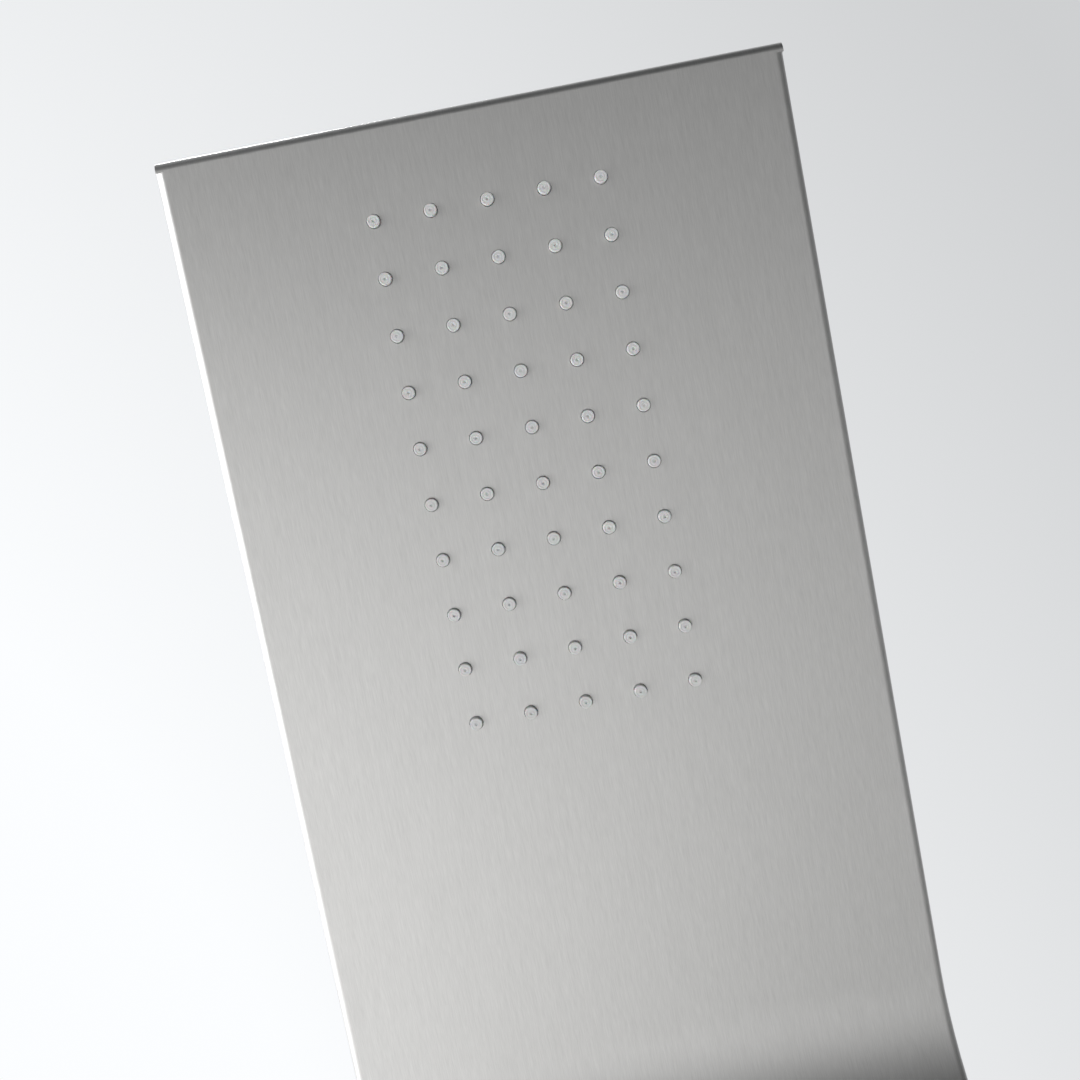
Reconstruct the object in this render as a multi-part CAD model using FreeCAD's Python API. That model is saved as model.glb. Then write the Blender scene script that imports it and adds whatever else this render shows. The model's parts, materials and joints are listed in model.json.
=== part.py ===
import FreeCAD, Part

import math
import os

# Shower panel column: a bent, brushed steel panel on the wall, with a rain head in its leaning top,
# two tilting body jets, a handset holder, a diverter and a thermostatic mixer.
# Millimetres. X runs across the panel, +Y points at the wall and +Z up. The user stands at -Y.
# The origin is the centre of the four wall screw holes, on the face of the wall.

Vec = FreeCAD.Vector
ALONG_X = Vec(1, 0, 0)
ALONG_Y = Vec(0, 1, 0)
ALONG_Z = Vec(0, 0, 1)

# ---- small round things that repeat, and bores that nothing shows, have flat sides to stay light
STEM_SIDES = 8               # nozzles, studs, screws and the bores of pipes
HOLE_SIDES = 12              # holes that show round a nozzle
BORE_SIDES = 4               # the fine bores of the nozzles

# ---- panel sheet
PANEL_WIDTH = 220.0
SHEET = 1.5
EDGE_RADIUS = 3.0            # outside of the folded edges
EAR_LENGTH = 0.6             # sharp corner left between a side fold and an end fold
COLUMN_DEPTH = 60.0          # wall to front face
COLUMN_HEIGHT = 1100.0       # bottom edge to the start of the bend
WALL_GAP = 1.0               # rear edges of the sides to the wall
BEND_RADIUS = 60.0           # front face, in the bend
HEAD_LEAN = 50.0             # degrees from upright
HEAD_LENGTH = 340.0          # end of the bend to the tip
HEAD_DEPTH = 28.0
REAR_CORNER_RADIUS = 40.0

# ---- wall fixing
FIX_SPACING_X = 140.0
FIX_SPACING_Z = 860.0
LOWER_FIX_HEIGHT = 150.0     # above the bottom edge
FIX_HOLE_RADIUS = 3.2
BRACKET_SHEET = 2.0
BRACKET_WIDTH = 176.0
BRACKET_HEIGHT = 40.0
BRACKET_REACH = 10.0         # wall to the front of the upright lip
BRACKET_LIP = 12.0
RAIL_SHEET = 2.0
RAIL_GAP = 1.0               # lip to rail, front and back
RAIL_DROP = 30.0             # height of the rail's web

# ---- spray nozzles in the head
NOZZLE_COLUMNS = 5
NOZZLE_ROWS = 10
NOZZLE_PITCH = 20.0
FIRST_ROW = 33.5             # tip to the first row
NOZZLE_RADIUS = 2.3
NOZZLE_TAPER = 0.2           # how much narrower a nozzle is at its tip
NOZZLE_BORE = 0.5
NOZZLE_OUT = 2.2             # beyond the front face
NOZZLE_GAP = 0.3             # nozzle to the hole in the sheet
MAT_THICKNESS = 2.0

# ---- water tray behind the nozzles
TRAY_SIDE_MARGIN = 32.0      # outer nozzle row to the tray's side
TRAY_END_MARGIN = 17.0
TRAY_DEPTH = 16.0
TRAY_WALL = 1.0
TRAY_RIM = 9.0
TRAY_CORNER = 8.0
TRAY_INLET_X = 60.0
TRAY_STUB = 24.0             # tray to the open end of its inlet
STUD_RADIUS = 2.0
STUD_HOLE_GAP = 0.2
STUD_FREE = 1.0              # stud end past its nut
STUD_NUT_WIDTH = 7.0
STUD_NUT_LENGTH = 3.2
STUDS_PER_SIDE = 3

# ---- cover on the back of the head
COVER_SHEET = 1.2
COVER_GAP = 0.3
COVER_LENGTH = 388.0
COVER_TAB = 14.0
COVER_TAB_SHEET = 2.0
COVER_TABS_PER_SIDE = 3
COVER_TAB_FROM_END = 40.0
COVER_SCREW_RADIUS = 2.0
COVER_SCREW_HEAD = 3.8
COVER_SCREW_HEAD_HEIGHT = 1.6
SCREW_HOLE_GAP = 0.15

# ---- pipes
PIPE_RADIUS = 6.0
PIPE_BORE_RADIUS = 5.0
PIPE_BEND = 20.0             # centre line
RISER_TIGHTER = 10.0         # the riser turns into the head on a radius this much under the sheet's
PORT_DEPTH = 24.0            # front face to the plane of the pipes
PORT_LENGTH = 10.0
PIPE_NUT_WIDTH = 17.0
PIPE_NUT_LENGTH = 14.0
PIPE_NUT_GAP = 0.1
FEED_X = 84.0                # pipe to the jets, left, and pipe to the hose outlet, right
RISER_STEP = 24.0            # height above the port where the riser sets off sideways
RISER_SLANT = 70.0           # height in which it gets there

# ---- valves
DIVERTER_HEIGHT = 440.0      # above the bottom edge
MIXER_HEIGHT = 300.0
VALVE_RADIUS = 19.0
VALVE_LENGTH = 50.0
NECK_RADIUS = 16.0
NECK_OUT = 7.0
NECK_GAP = 0.3
CARTRIDGE_RADIUS = 13.0
CARTRIDGE_LENGTH = 36.0
CARTRIDGE_GAP = 0.1
GLAND_LENGTH = 6.0
SPINDLE_RADIUS = 5.0
SPINDLE_IN = 18.0
SPINDLE_OUT = 24.0
RUNNING_GAP = 0.1
ESCUTCHEON_RADIUS = 30.0
ESCUTCHEON_THICKNESS = 5.0
ESCUTCHEON_CHAMFER = 1.5
BAR_RADIUS = 12.0
BAR_BORE = 6.0
BAR_END = 4.0                # beyond the collar of each inlet
INLET_SPACING = 90.0
INLET_COLLAR_RADIUS = 13.0
INLET_COLLAR_DROP = 15.0     # bar centre to the collar's face
INLET_BORE = 7.2
THREAD_RADIUS = 10.48        # half-inch pipe thread, over the crests
THREAD_LENGTH = 14.0
CHECK_VALVE_LENGTH = 12.0
FILTER_THICKNESS = 2.0
FILTER_HOLE = 4.0

# ---- knobs
KNOB_RADIUS = 22.0
KNOB_LENGTH = 34.0
KNOB_GAP = 1.0               # knob to escutcheon
KNOB_CHAMFER = 1.5
KNOB_RECESS_GAP = 1.0
KNOB_FIT = 0.05
CAP_RADIUS = 17.0
CAP_THICKNESS = 1.5
LEVER_RADIUS = 4.0
LEVER_LENGTH = 26.0          # beyond the knob
LEVER_SEAT = 7.0             # depth of its hole in the knob
LEVER_CHAMFER = 0.8
GRUB_RADIUS = 2.0
GRUB_LENGTH = 10.0
BUTTON_RADIUS = 4.0
BUTTON_OUT = 2.5
BUTTON_LENGTH = 10.5
BUTTON_TRAVEL = 1.5
BUTTON_CHAMFER = 0.6
SPRING_PRESSED = 3.0         # its length with the button pressed
SPRING_RADIUS = 3.2
SPRING_WALL = 0.8

# ---- hose outlet in the bottom edge
OUTLET_HEX_WIDTH = 26.0
OUTLET_HEX_LENGTH = 8.0
OUTLET_NECK_RADIUS = 11.5
OUTLET_NUT_WIDTH = 30.0
OUTLET_NUT_LENGTH = 4.0

# ---- body jets
JET_HEIGHTS = {"lower": 760.0, "upper": 940.0}   # above the bottom edge
JET_RADIUS = 19.0
JET_LENGTH = 84.0
JET_AXIS_DEPTH = 8.0         # front face to the tilting axis
JET_FACE_OUT = 4.0
JET_WALL = 2.5
JET_SIDE_GAP = 0.4
JET_GAP = 0.3
JET_SLOT_DEPTH = 11.0        # axis to the opening in the barrel's back
JET_PIN_RADIUS = 3.0
JET_PIN_LENGTH = 3.2
JET_PIN_END_GAP = 0.3
HOUSING_WALL = 3.0
HOUSING_SIDE = 4.5
HOUSING_FLANGE = 2.5
BEZEL_BORDER_X = 12.0
BEZEL_BORDER_Z = 10.0
BEZEL_THICKNESS = 3.5
BEZEL_CHAMFER = 1.2
BEZEL_GAP = 0.45             # barrel to window, at the sheet's back
BOSS_RADIUS = 3.0
BOSS_GAP = 0.2
BOSS_INSET = 4.5
JET_SCREW_RADIUS = 1.5
JET_SCREW_BITE = 3.0
JET_SCREW_HEAD = 2.8
JET_SCREW_HEAD_HEIGHT = 2.0
JET_NOZZLE_COLUMNS = 4
JET_NOZZLE_ROWS = 2
JET_NOZZLE_PITCH_X = 20.0
JET_NOZZLE_PITCH_Z = 12.0
JET_NOZZLE_RADIUS = 1.8
JET_NOZZLE_OUT = 1.5
JET_NOZZLE_BORE = 0.5
JET_NOZZLE_GAP = 0.2
JET_MAT_THICKNESS = 1.2
JET_MAT_MARGIN = 5.0

# ---- handset holder
HOLDER_HEIGHT = 600.0        # above the bottom edge
HOLDER_BASE_WIDTH = 40.0
HOLDER_BASE_THICKNESS = 6.0
HOLDER_BASE_CHAMFER = 1.0
EAR_THICKNESS = 4.0
EAR_RADIUS = 7.0
PIVOT_OUT = 10.0             # base to the tilting pin
TONGUE_WIDTH = 16.0
TONGUE_GAP = 0.3
TONGUE_RADIUS = 6.5
PIN_RADIUS = 2.5
PIN_HEAD_RADIUS = 4.0
PIN_HEAD_LENGTH = 1.5
CUP_REACH = 26.0             # pin to the cup's centre
CUP_RADIUS = 17.0
CUP_BORE = 12.0
CUP_HEIGHT = 24.0
CUP_SLOT = 14.0
HOLDER_BOLT_RADIUS = 3.0
HOLDER_BOLT_HEAD = 5.0
HOLDER_BOLT_HEAD_HEIGHT = 4.0
HOLDER_BOLT_GAP = 0.2
HOLDER_BOLT_FREE = 2.0
HOLDER_NUT_WIDTH = 10.0
HOLDER_NUT_LENGTH = 5.0
HOLDER_WASHER_RADIUS = 9.0
HOLDER_WASHER_THICKNESS = 1.5

# ---- places worked out from the sizes
LEAN = math.radians(HEAD_LEAN)
BOTTOM = -FIX_SPACING_Z / 2 - LOWER_FIX_HEIGHT
BEND_START = BOTTOM + COLUMN_HEIGHT
FRONT = -COLUMN_DEPTH
INSIDE = FRONT + SHEET
PORTS = FRONT + PORT_DEPTH
UP_THE_HEAD = Vec(0, -math.sin(LEAN), math.cos(LEAN))
INTO_THE_HEAD = Vec(0, math.cos(LEAN), math.sin(LEAN))
BEND_CENTRE = Vec(0, FRONT - BEND_RADIUS, BEND_START)
BEND_END = BEND_CENTRE + INTO_THE_HEAD * BEND_RADIUS
TIP = BEND_END + UP_THE_HEAD * HEAD_LENGTH
# The head's own frame has its origin at the tip: Y goes into the head and -Z down along its face.
HEAD_FRAME = FreeCAD.Placement(TIP, FreeCAD.Rotation(ALONG_X, HEAD_LEAN))
HALF_INSIDE = PANEL_WIDTH / 2 - SHEET
FAR = 40.0                   # how far cutting tools reach past what they cut
JOIN_DEPTH = 1.0             # how far the solids of one casting reach into each other


# ---- shapes that many pieces use

def block(x, y, z):
    """A box between the two values of each pair."""
    corner = Vec(min(x), min(y), min(z))
    return Part.makeBox(abs(x[1] - x[0]), abs(y[1] - y[0]), abs(z[1] - z[0]), corner)


def rod(radius, start, end):
    """A round bar from one point to another."""
    along = end - start
    return Part.makeCylinder(radius, along.Length, start, along)


def tube(radius, bore, start, end):
    """A round bar with a hole right through it."""
    return rod(radius, start, end).cut(rod(bore, start, end))


def chamfered_rod(radius, chamfer, start, end):
    """A round bar whose far end is chamfered."""
    along = end - start
    direction = Vec(along).normalize()
    shoulder = end - direction * chamfer
    tip = Part.makeCone(radius, radius - chamfer, chamfer, shoulder, direction)
    return rod(radius, start, shoulder).fuse(tip).removeSplitter()


def outline_round(sides, radius, centre, direction, side=ALONG_X):
    """A regular outline across a direction; its corners lie on the circle, the first one towards side."""
    up = direction.cross(side)
    corners = []
    for number in range(sides):
        angle = number * 2 * math.pi / sides
        corners.append(centre + side * (radius * math.cos(angle)) + up * (radius * math.sin(angle)))
    return Part.makePolygon(corners + corners[:1])


def bar(sides, radius, start, end, side=ALONG_X):
    """A straight bar with flat sides, its corners at the radius."""
    along = end - start
    return Part.Face(outline_round(sides, radius, start, Vec(along).normalize(), side)).extrude(along)


def tapered_bar(sides, radius, tip_radius, start, end):
    """A bar with flat sides that narrows towards its end."""
    direction = (end - start).normalize()
    outlines = [outline_round(sides, r, p, direction) for r, p in ((radius, start), (tip_radius, end))]
    return Part.makeLoft(outlines, True, True)


def hexagon(width, start, end, side=ALONG_X):
    """A hexagonal bar, its width measured across the flats."""
    return bar(6, width / math.sqrt(3), start, end, side)


def hex_nut(width, bore_sides, bore, start, end, side=ALONG_X):
    """A plain hexagonal nut."""
    return hexagon(width, start, end, side).cut(bar(bore_sides, bore, start, end, side))


def rounded_path(points, radii):
    """Straight runs through the points, joined by tangent arcs of the given radii."""
    edges = []
    start = points[0]
    for before, corner, after, radius in zip(points, points[1:], points[2:], radii):
        back = (before - corner).normalize()
        onward = (after - corner).normalize()
        half = back.getAngle(onward) / 2
        reach = radius / math.tan(half)
        first = corner + back * reach
        last = corner + onward * reach
        bisector = (back + onward).normalize()
        centre = corner + bisector * (radius / math.sin(half))
        middle = centre - bisector * radius
        edges.append(Part.LineSegment(start, first).toShape())
        edges.append(Part.Arc(first, middle, last).toShape())
        start = last
    edges.append(Part.LineSegment(start, points[-1]).toShape())
    return Part.Wire(edges)


def bent_rod(radius, path, start, direction):
    """A round bar along a path."""
    return path.makePipeShell([Part.Wire(Part.makeCircle(radius, start, direction))], True, True)


def bent_bore(path, start, direction):
    """The inside of a pipe along a path."""
    side = ALONG_Y if direction == ALONG_X or direction == -ALONG_X else ALONG_X
    outline = outline_round(STEM_SIDES, PIPE_BORE_RADIUS, start, direction, side)
    return path.makePipeShell([outline], True, True)


def pipe(points, radii):
    """A bent pipe with its bore."""
    path = rounded_path(points, radii)
    direction = (points[1] - points[0]).normalize()
    outside = bent_rod(PIPE_RADIUS, path, points[0], direction)
    return outside.cut(bent_bore(path, points[0], direction))


def pipe_bore(start, end):
    """A straight stretch of the inside of a pipe or port."""
    side = ALONG_X if abs((end - start).normalize().x) < 0.5 else ALONG_Y
    return bar(STEM_SIDES, PIPE_BORE_RADIUS, start, end, side)


def group(shapes):
    """Several separate solids that share one node."""
    return Part.makeCompound(shapes)


# ---- panel

def side_outline(inset, top, bottom, rear):
    """The panel seen from the side, as a face on X = 0; its front line lies inset behind the front face.
    top and bottom are how far the ends lie inside the panel's own ends."""
    radius = BEND_RADIUS + inset
    end = BEND_CENTRE + INTO_THE_HEAD * radius
    middle = BEND_CENTRE + Vec(0, math.cos(LEAN / 2), math.sin(LEAN / 2)) * radius
    foot = Vec(0, FRONT + inset, BOTTOM + bottom)
    start = Vec(0, FRONT + inset, BEND_START)
    tip = TIP + INTO_THE_HEAD * inset - UP_THE_HEAD * top
    back = TIP + INTO_THE_HEAD * (HEAD_DEPTH + rear) - UP_THE_HEAD * top
    down = (rear - WALL_GAP - back.y) / math.sin(LEAN)
    knee = back - UP_THE_HEAD * down
    heel = Vec(0, rear - WALL_GAP, BOTTOM + bottom)
    edges = [
        Part.LineSegment(foot, start).toShape(),
        Part.Arc(start, middle, end).toShape(),
        Part.LineSegment(end, tip).toShape(),
        Part.LineSegment(tip, back).toShape(),
        Part.LineSegment(back, knee).toShape(),
        Part.LineSegment(knee, heel).toShape(),
        Part.LineSegment(heel, foot).toShape(),
    ]
    return Part.Face(Part.Wire(edges)), knee


def front_distance(point, inset):
    """How far a point lies from the front line of a side outline."""
    if point.z <= BEND_START:
        return abs(point.y - FRONT - inset)
    from_centre = Vec(0, point.y, point.z) - BEND_CENTRE
    if from_centre.dot(UP_THE_HEAD) < 0:
        return abs(from_centre.Length - BEND_RADIUS - inset)
    return abs(from_centre.dot(INTO_THE_HEAD) - BEND_RADIUS - inset)


def folded_body(half_width, inset, top, bottom, rear, radius):
    """The space inside a folded skin. The side folds stop short of both ends, where the end folds run
    across the full width, so each corner keeps a small sharp ear."""
    face, knee = side_outline(inset, top, bottom, rear)
    face.translate(ALONG_X * -half_width)
    whole = face.extrude(ALONG_X * (2 * half_width))
    if not rear:
        corner = Vec(0, knee.y, knee.z)
        whole = whole.makeFillet(
            REAR_CORNER_RADIUS, [e for e in whole.Edges if e.CenterOfMass.distanceToPoint(corner) < SHEET]
        )

    def is_front(edge):
        ends = (edge.valueAt(edge.FirstParameter), edge.valueAt(edge.LastParameter))
        return all(front_distance(end, inset) < 0.01 for end in ends)

    across = [e for e in whole.Edges if is_front(e) and abs(e.CenterOfMass.x) < 0.01]
    across.sort(key=lambda e: e.CenterOfMass.z)
    whole = whole.makeFillet(radius, [across[0], across[-1]])
    wide = half_width + FAR
    ear = radius + EAR_LENGTH
    upper = block((-wide, wide), (-FAR, HEAD_DEPTH + FAR * 2), (-top - ear, FAR))
    upper.Placement = HEAD_FRAME
    lower = block((-wide, wide), (FRONT - FAR, FAR * 2), (BOTTOM - FAR, BOTTOM + bottom + ear))
    ends = [whole.common(upper), whole.common(lower)]
    middle = whole.cut([upper, lower])
    sides = [e for e in middle.Edges if is_front(e) and abs(abs(e.CenterOfMass.x) - half_width) < 0.01]
    middle = middle.makeFillet(radius, sides)
    return middle.fuse(ends).removeSplitter()


def nozzle_places():
    """Centres of the head's nozzles in the head's frame, on its front face."""
    places = []
    for row in range(NOZZLE_ROWS):
        for column in range(NOZZLE_COLUMNS):
            x = (column - (NOZZLE_COLUMNS - 1) / 2) * NOZZLE_PITCH
            places.append(Vec(x, 0, -FIRST_ROW - row * NOZZLE_PITCH))
    return places


def panel():
    """The front sheet, folded back along both sides and both ends, with every hole in it."""
    outside = folded_body(PANEL_WIDTH / 2, 0, 0, 0, 0, EDGE_RADIUS)
    hollow = folded_body(HALF_INSIDE, SHEET, SHEET, SHEET, FAR, EDGE_RADIUS - SHEET)
    skin = outside.cut(hollow)
    tools = []
    hole = NOZZLE_RADIUS + NOZZLE_GAP
    before = -ALONG_Y * SHEET
    behind = ALONG_Y * (2 * SHEET)
    for place in nozzle_places():
        tools.append(placed_in_head(bar(HOLE_SIDES, hole, place + before, place + behind)))
    for height in (MIXER_HEIGHT, DIVERTER_HEIGHT):
        tools.append(rod(NECK_RADIUS + NECK_GAP, valve_point(height, -SHEET), valve_point(height, 2 * SHEET)))
    for height in JET_HEIGHTS.values():
        tools.append(jet_window(height, (FRONT - SHEET, FRONT + 2 * SHEET)))
        for place in jet_bosses(height):
            tools.append(bar(STEM_SIDES, BOSS_RADIUS + BOSS_GAP, place + before, place + behind))
    bolt = valve_point(HOLDER_HEIGHT, 0)
    tools.append(rod(HOLDER_BOLT_RADIUS + HOLDER_BOLT_GAP, bolt + before, bolt + behind))
    outlet = Vec(FEED_X, PORTS, BOTTOM)
    tools.append(rod(OUTLET_NECK_RADIUS + NECK_GAP, outlet - ALONG_Z * SHEET, outlet + ALONG_Z * (2 * SHEET)))
    return skin.cut(tools)


# ---- rain head

def placed_in_head(shape):
    """Moves a shape from the head's frame to the panel's."""
    shape.Placement = HEAD_FRAME.multiply(shape.Placement)
    return shape


def tray_reach():
    """Half width, upper end and lower end of the tray's box in the head's frame."""
    half = (NOZZLE_COLUMNS - 1) / 2 * NOZZLE_PITCH + TRAY_SIDE_MARGIN
    top = -FIRST_ROW + TRAY_END_MARGIN
    foot = -FIRST_ROW - (NOZZLE_ROWS - 1) * NOZZLE_PITCH - TRAY_END_MARGIN
    return half, top, foot


def stud_places():
    """Centres of the studs round the tray, in its rim."""
    half, top, foot = tray_reach()
    x = half + TRAY_RIM / 2
    upper = top + TRAY_RIM / 2
    lower = foot - TRAY_RIM / 2
    places = [Vec(0, 0, upper), Vec(0, 0, lower)]
    for number in range(STUDS_PER_SIDE):
        z = upper + (lower - upper) * (number + 0.5) / STUDS_PER_SIDE
        places += [Vec(-x, 0, z), Vec(x, 0, z)]
    return places


def nozzle_mat():
    """One silicone moulding: a flat mat behind the sheet, with a nozzle through every hole of it."""
    half, top, foot = tray_reach()
    mat = block(
        (-half - TRAY_RIM, half + TRAY_RIM),
        (SHEET, SHEET + MAT_THICKNESS),
        (foot - TRAY_RIM, top + TRAY_RIM),
    )
    stems = []
    bores = []
    for place in nozzle_places():
        back = place + ALONG_Y * (SHEET + MAT_THICKNESS)
        root = place + ALONG_Y * SHEET
        end = place - ALONG_Y * NOZZLE_OUT
        stems.append(tapered_bar(STEM_SIDES, NOZZLE_RADIUS, NOZZLE_RADIUS - NOZZLE_TAPER, root, end))
        bores.append(bar(BORE_SIDES, NOZZLE_BORE, back, end))
    for place in stud_places():
        bores.append(bar(
            STEM_SIDES,
            STUD_RADIUS + STUD_HOLE_GAP,
            place + ALONG_Y * SHEET,
            place + ALONG_Y * (SHEET + MAT_THICKNESS),
        ))
    return placed_in_head(mat.fuse(stems).cut(bores))


def spray_tray():
    """The pressed tray that holds the water over the mat, with its rim and its inlet stub."""
    half, top, foot = tray_reach()
    seat = SHEET + MAT_THICKNESS
    outside = block((-half, half), (seat, seat + TRAY_DEPTH), (foot, top))
    inside = block(
        (-half + TRAY_WALL, half - TRAY_WALL),
        (seat, seat + TRAY_DEPTH - TRAY_WALL),
        (foot + TRAY_WALL, top - TRAY_WALL),
    )

    def upright(shape):
        return [e for e in shape.Edges if abs(e.tangentAt(e.FirstParameter).y) > 0.99]

    outside = outside.makeFillet(TRAY_CORNER, upright(outside))
    inside = inside.makeFillet(TRAY_CORNER - TRAY_WALL, upright(inside))
    rim = block(
        (-half - TRAY_RIM, half + TRAY_RIM),
        (seat, seat + TRAY_WALL),
        (foot - TRAY_RIM, top + TRAY_RIM),
    )
    inlet = tray_inlet()
    stub = rod(PIPE_RADIUS, inlet + ALONG_Z * (TRAY_STUB + TRAY_WALL / 2), inlet)
    tray = outside.fuse([rim, stub]).cut(inside)
    holes = [pipe_bore(inlet + ALONG_Z * (TRAY_STUB + 2 * TRAY_WALL), inlet)]
    for place in stud_places():
        holes.append(bar(
            STEM_SIDES,
            STUD_RADIUS + STUD_HOLE_GAP,
            place + ALONG_Y * seat,
            place + ALONG_Y * (seat + TRAY_WALL),
        ))
    return placed_in_head(tray.cut(holes))


def tray_inlet():
    """The open end of the tray's inlet stub, in the head's frame."""
    foot = tray_reach()[2]
    return Vec(TRAY_INLET_X, SHEET + MAT_THICKNESS + TRAY_DEPTH / 2, foot - TRAY_STUB)


def tray_studs():
    """Studs welded to the back of the sheet, which pull the tray onto the mat."""
    seat = SHEET + MAT_THICKNESS + TRAY_WALL
    end = seat + STUD_NUT_LENGTH + STUD_FREE
    return placed_in_head(group([
        bar(STEM_SIDES, STUD_RADIUS, place + ALONG_Y * SHEET, place + ALONG_Y * end)
        for place in stud_places()
    ]))


def tray_nuts():
    """A nut on each stud."""
    seat = SHEET + MAT_THICKNESS + TRAY_WALL
    return placed_in_head(group([
        hex_nut(
            STUD_NUT_WIDTH,
            STEM_SIDES,
            STUD_RADIUS + KNOB_FIT,
            place + ALONG_Y * seat,
            place + ALONG_Y * (seat + STUD_NUT_LENGTH),
        )
        for place in stud_places()
    ]))


def cover_screw_places():
    """Centres of the cover's screws in the head's frame, at the depth of its outer face."""
    x = HALF_INSIDE - COVER_TAB / 2
    first = -SHEET - COVER_TAB_FROM_END
    last = -COVER_LENGTH + COVER_TAB_FROM_END
    places = []
    for number in range(COVER_TABS_PER_SIDE):
        z = first + (last - first) * number / (COVER_TABS_PER_SIDE - 1)
        places += [Vec(-x, HEAD_DEPTH, z), Vec(x, HEAD_DEPTH, z)]
    return places


def head_back_cover():
    """The plate that closes the back of the head, flush between the folded sides."""
    cover = block(
        (-HALF_INSIDE + COVER_GAP, HALF_INSIDE - COVER_GAP),
        (HEAD_DEPTH - COVER_SHEET, HEAD_DEPTH),
        (-COVER_LENGTH, -SHEET - COVER_GAP),
    )
    holes = [
        bar(STEM_SIDES, COVER_SCREW_RADIUS + SCREW_HOLE_GAP, place, place - ALONG_Y * COVER_SHEET)
        for place in cover_screw_places()
    ]
    return placed_in_head(cover.cut(holes))


def cover_tabs():
    """Angle tabs welded inside the folded sides, which carry the cover."""
    tabs = []
    for place in cover_screw_places():
        side = math.copysign(HALF_INSIDE, place.x)
        inner = math.copysign(HALF_INSIDE - COVER_TAB, place.x)
        web = math.copysign(HALF_INSIDE - COVER_TAB_SHEET, place.x)
        z = (place.z - COVER_TAB / 2, place.z + COVER_TAB / 2)
        back = HEAD_DEPTH - COVER_SHEET
        seat = block((inner, side), (back - COVER_TAB_SHEET, back), z)
        leg = block((web, side), (back - COVER_TAB, back), z)
        hole = bar(STEM_SIDES, COVER_SCREW_RADIUS + KNOB_FIT, place, place - ALONG_Y * COVER_TAB)
        tabs.append(seat.fuse(leg).removeSplitter().cut(hole))
    return placed_in_head(group(tabs))


def cover_screws():
    """Pan-head screws through the cover into the tabs."""
    screws = []
    reach = COVER_SHEET + 2 * COVER_TAB_SHEET
    for place in cover_screw_places():
        shank = bar(STEM_SIDES, COVER_SCREW_RADIUS, place, place - ALONG_Y * reach)
        head = tapered_bar(
            HOLE_SIDES,
            COVER_SCREW_HEAD,
            COVER_SCREW_HEAD - COVER_SCREW_HEAD_HEIGHT / 2,
            place,
            place + ALONG_Y * COVER_SCREW_HEAD_HEIGHT,
        )
        screws.append(shank.fuse(head))
    return placed_in_head(group(screws))


# ---- valves and knobs

def valve_point(height, depth):
    """A point on the panel's centre line, at a height above its bottom edge and a depth behind its face."""
    return Vec(0, FRONT + depth, BOTTOM + height)


def valve_body(height):
    """The brass barrel behind the panel, with the neck that comes out through it."""
    barrel = rod(VALVE_RADIUS, valve_point(height, SHEET), valve_point(height, VALVE_LENGTH))
    neck = rod(NECK_RADIUS, valve_point(height, SHEET + JOIN_DEPTH), valve_point(height, -NECK_OUT))
    return barrel.fuse(neck)


def valve_cavity(height):
    """The bore for the cartridge."""
    return rod(
        CARTRIDGE_RADIUS + CARTRIDGE_GAP,
        valve_point(height, -NECK_OUT),
        valve_point(height, CARTRIDGE_LENGTH),
    )


def port_end(height, direction):
    """Where a side port of a valve ends and its pipe begins."""
    return valve_point(height, PORT_DEPTH) + direction * (VALVE_RADIUS + PORT_LENGTH)


def with_ports(body, height, directions):
    """Adds round side ports to a valve body."""
    centre = valve_point(height, PORT_DEPTH)
    stubs = [rod(PIPE_RADIUS, centre, port_end(height, d)) for d in directions]
    bores = [pipe_bore(centre, port_end(height, d)) for d in directions]
    return body.fuse(stubs).cut(bores + [valve_cavity(height)])


def diverter_body():
    """Water comes in at the bottom and leaves to the head, the jets or the hose outlet."""
    return with_ports(valve_body(DIVERTER_HEIGHT), DIVERTER_HEIGHT, [ALONG_Z, -ALONG_Z, ALONG_X, -ALONG_X])


def inlet_places():
    """Centres of the hot and cold inlets on the mixer's bar."""
    centre = valve_point(MIXER_HEIGHT, PORT_DEPTH)
    return [centre - ALONG_X * (INLET_SPACING / 2), centre + ALONG_X * (INLET_SPACING / 2)]


def mixer_body():
    """Barrel and cross bar, with threaded inlets that point down and an outlet that points up."""
    hot, cold = inlet_places()
    end = ALONG_X * (INLET_COLLAR_RADIUS + BAR_END)
    parts = [rod(BAR_RADIUS, hot - end, cold + end)]
    bores = [rod(BAR_BORE, hot, cold)]
    for place in (hot, cold):
        collar = place - ALONG_Z * INLET_COLLAR_DROP
        foot = collar - ALONG_Z * THREAD_LENGTH
        parts.append(rod(INLET_COLLAR_RADIUS, place - ALONG_Z * JOIN_DEPTH, collar))
        parts.append(rod(THREAD_RADIUS, collar + ALONG_Z * JOIN_DEPTH, foot))
        bores.append(rod(INLET_BORE, place + ALONG_Z * INLET_BORE, foot))
    body = valve_body(MIXER_HEIGHT).fuse(parts).cut(bores)
    return with_ports(body, MIXER_HEIGHT, [ALONG_Z])


def in_inlets(radius, start, end, bore=0.0):
    """A round piece in each inlet, at two heights above the inlet's open end."""
    made = []
    for place in inlet_places():
        foot = place - ALONG_Z * (INLET_COLLAR_DROP + THREAD_LENGTH)
        piece = rod(radius, foot + ALONG_Z * start, foot + ALONG_Z * end)
        if bore:
            piece = piece.cut(rod(bore, foot + ALONG_Z * start, foot + ALONG_Z * end))
        made.append(piece)
    return group(made)


def cartridge(height):
    """The cartridge in a valve, with the hole that its spindle turns in."""
    front = valve_point(height, 0)
    body = rod(CARTRIDGE_RADIUS, front, valve_point(height, CARTRIDGE_LENGTH))
    return body.cut(rod(SPINDLE_RADIUS + RUNNING_GAP, front, valve_point(height, SPINDLE_IN)))


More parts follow.
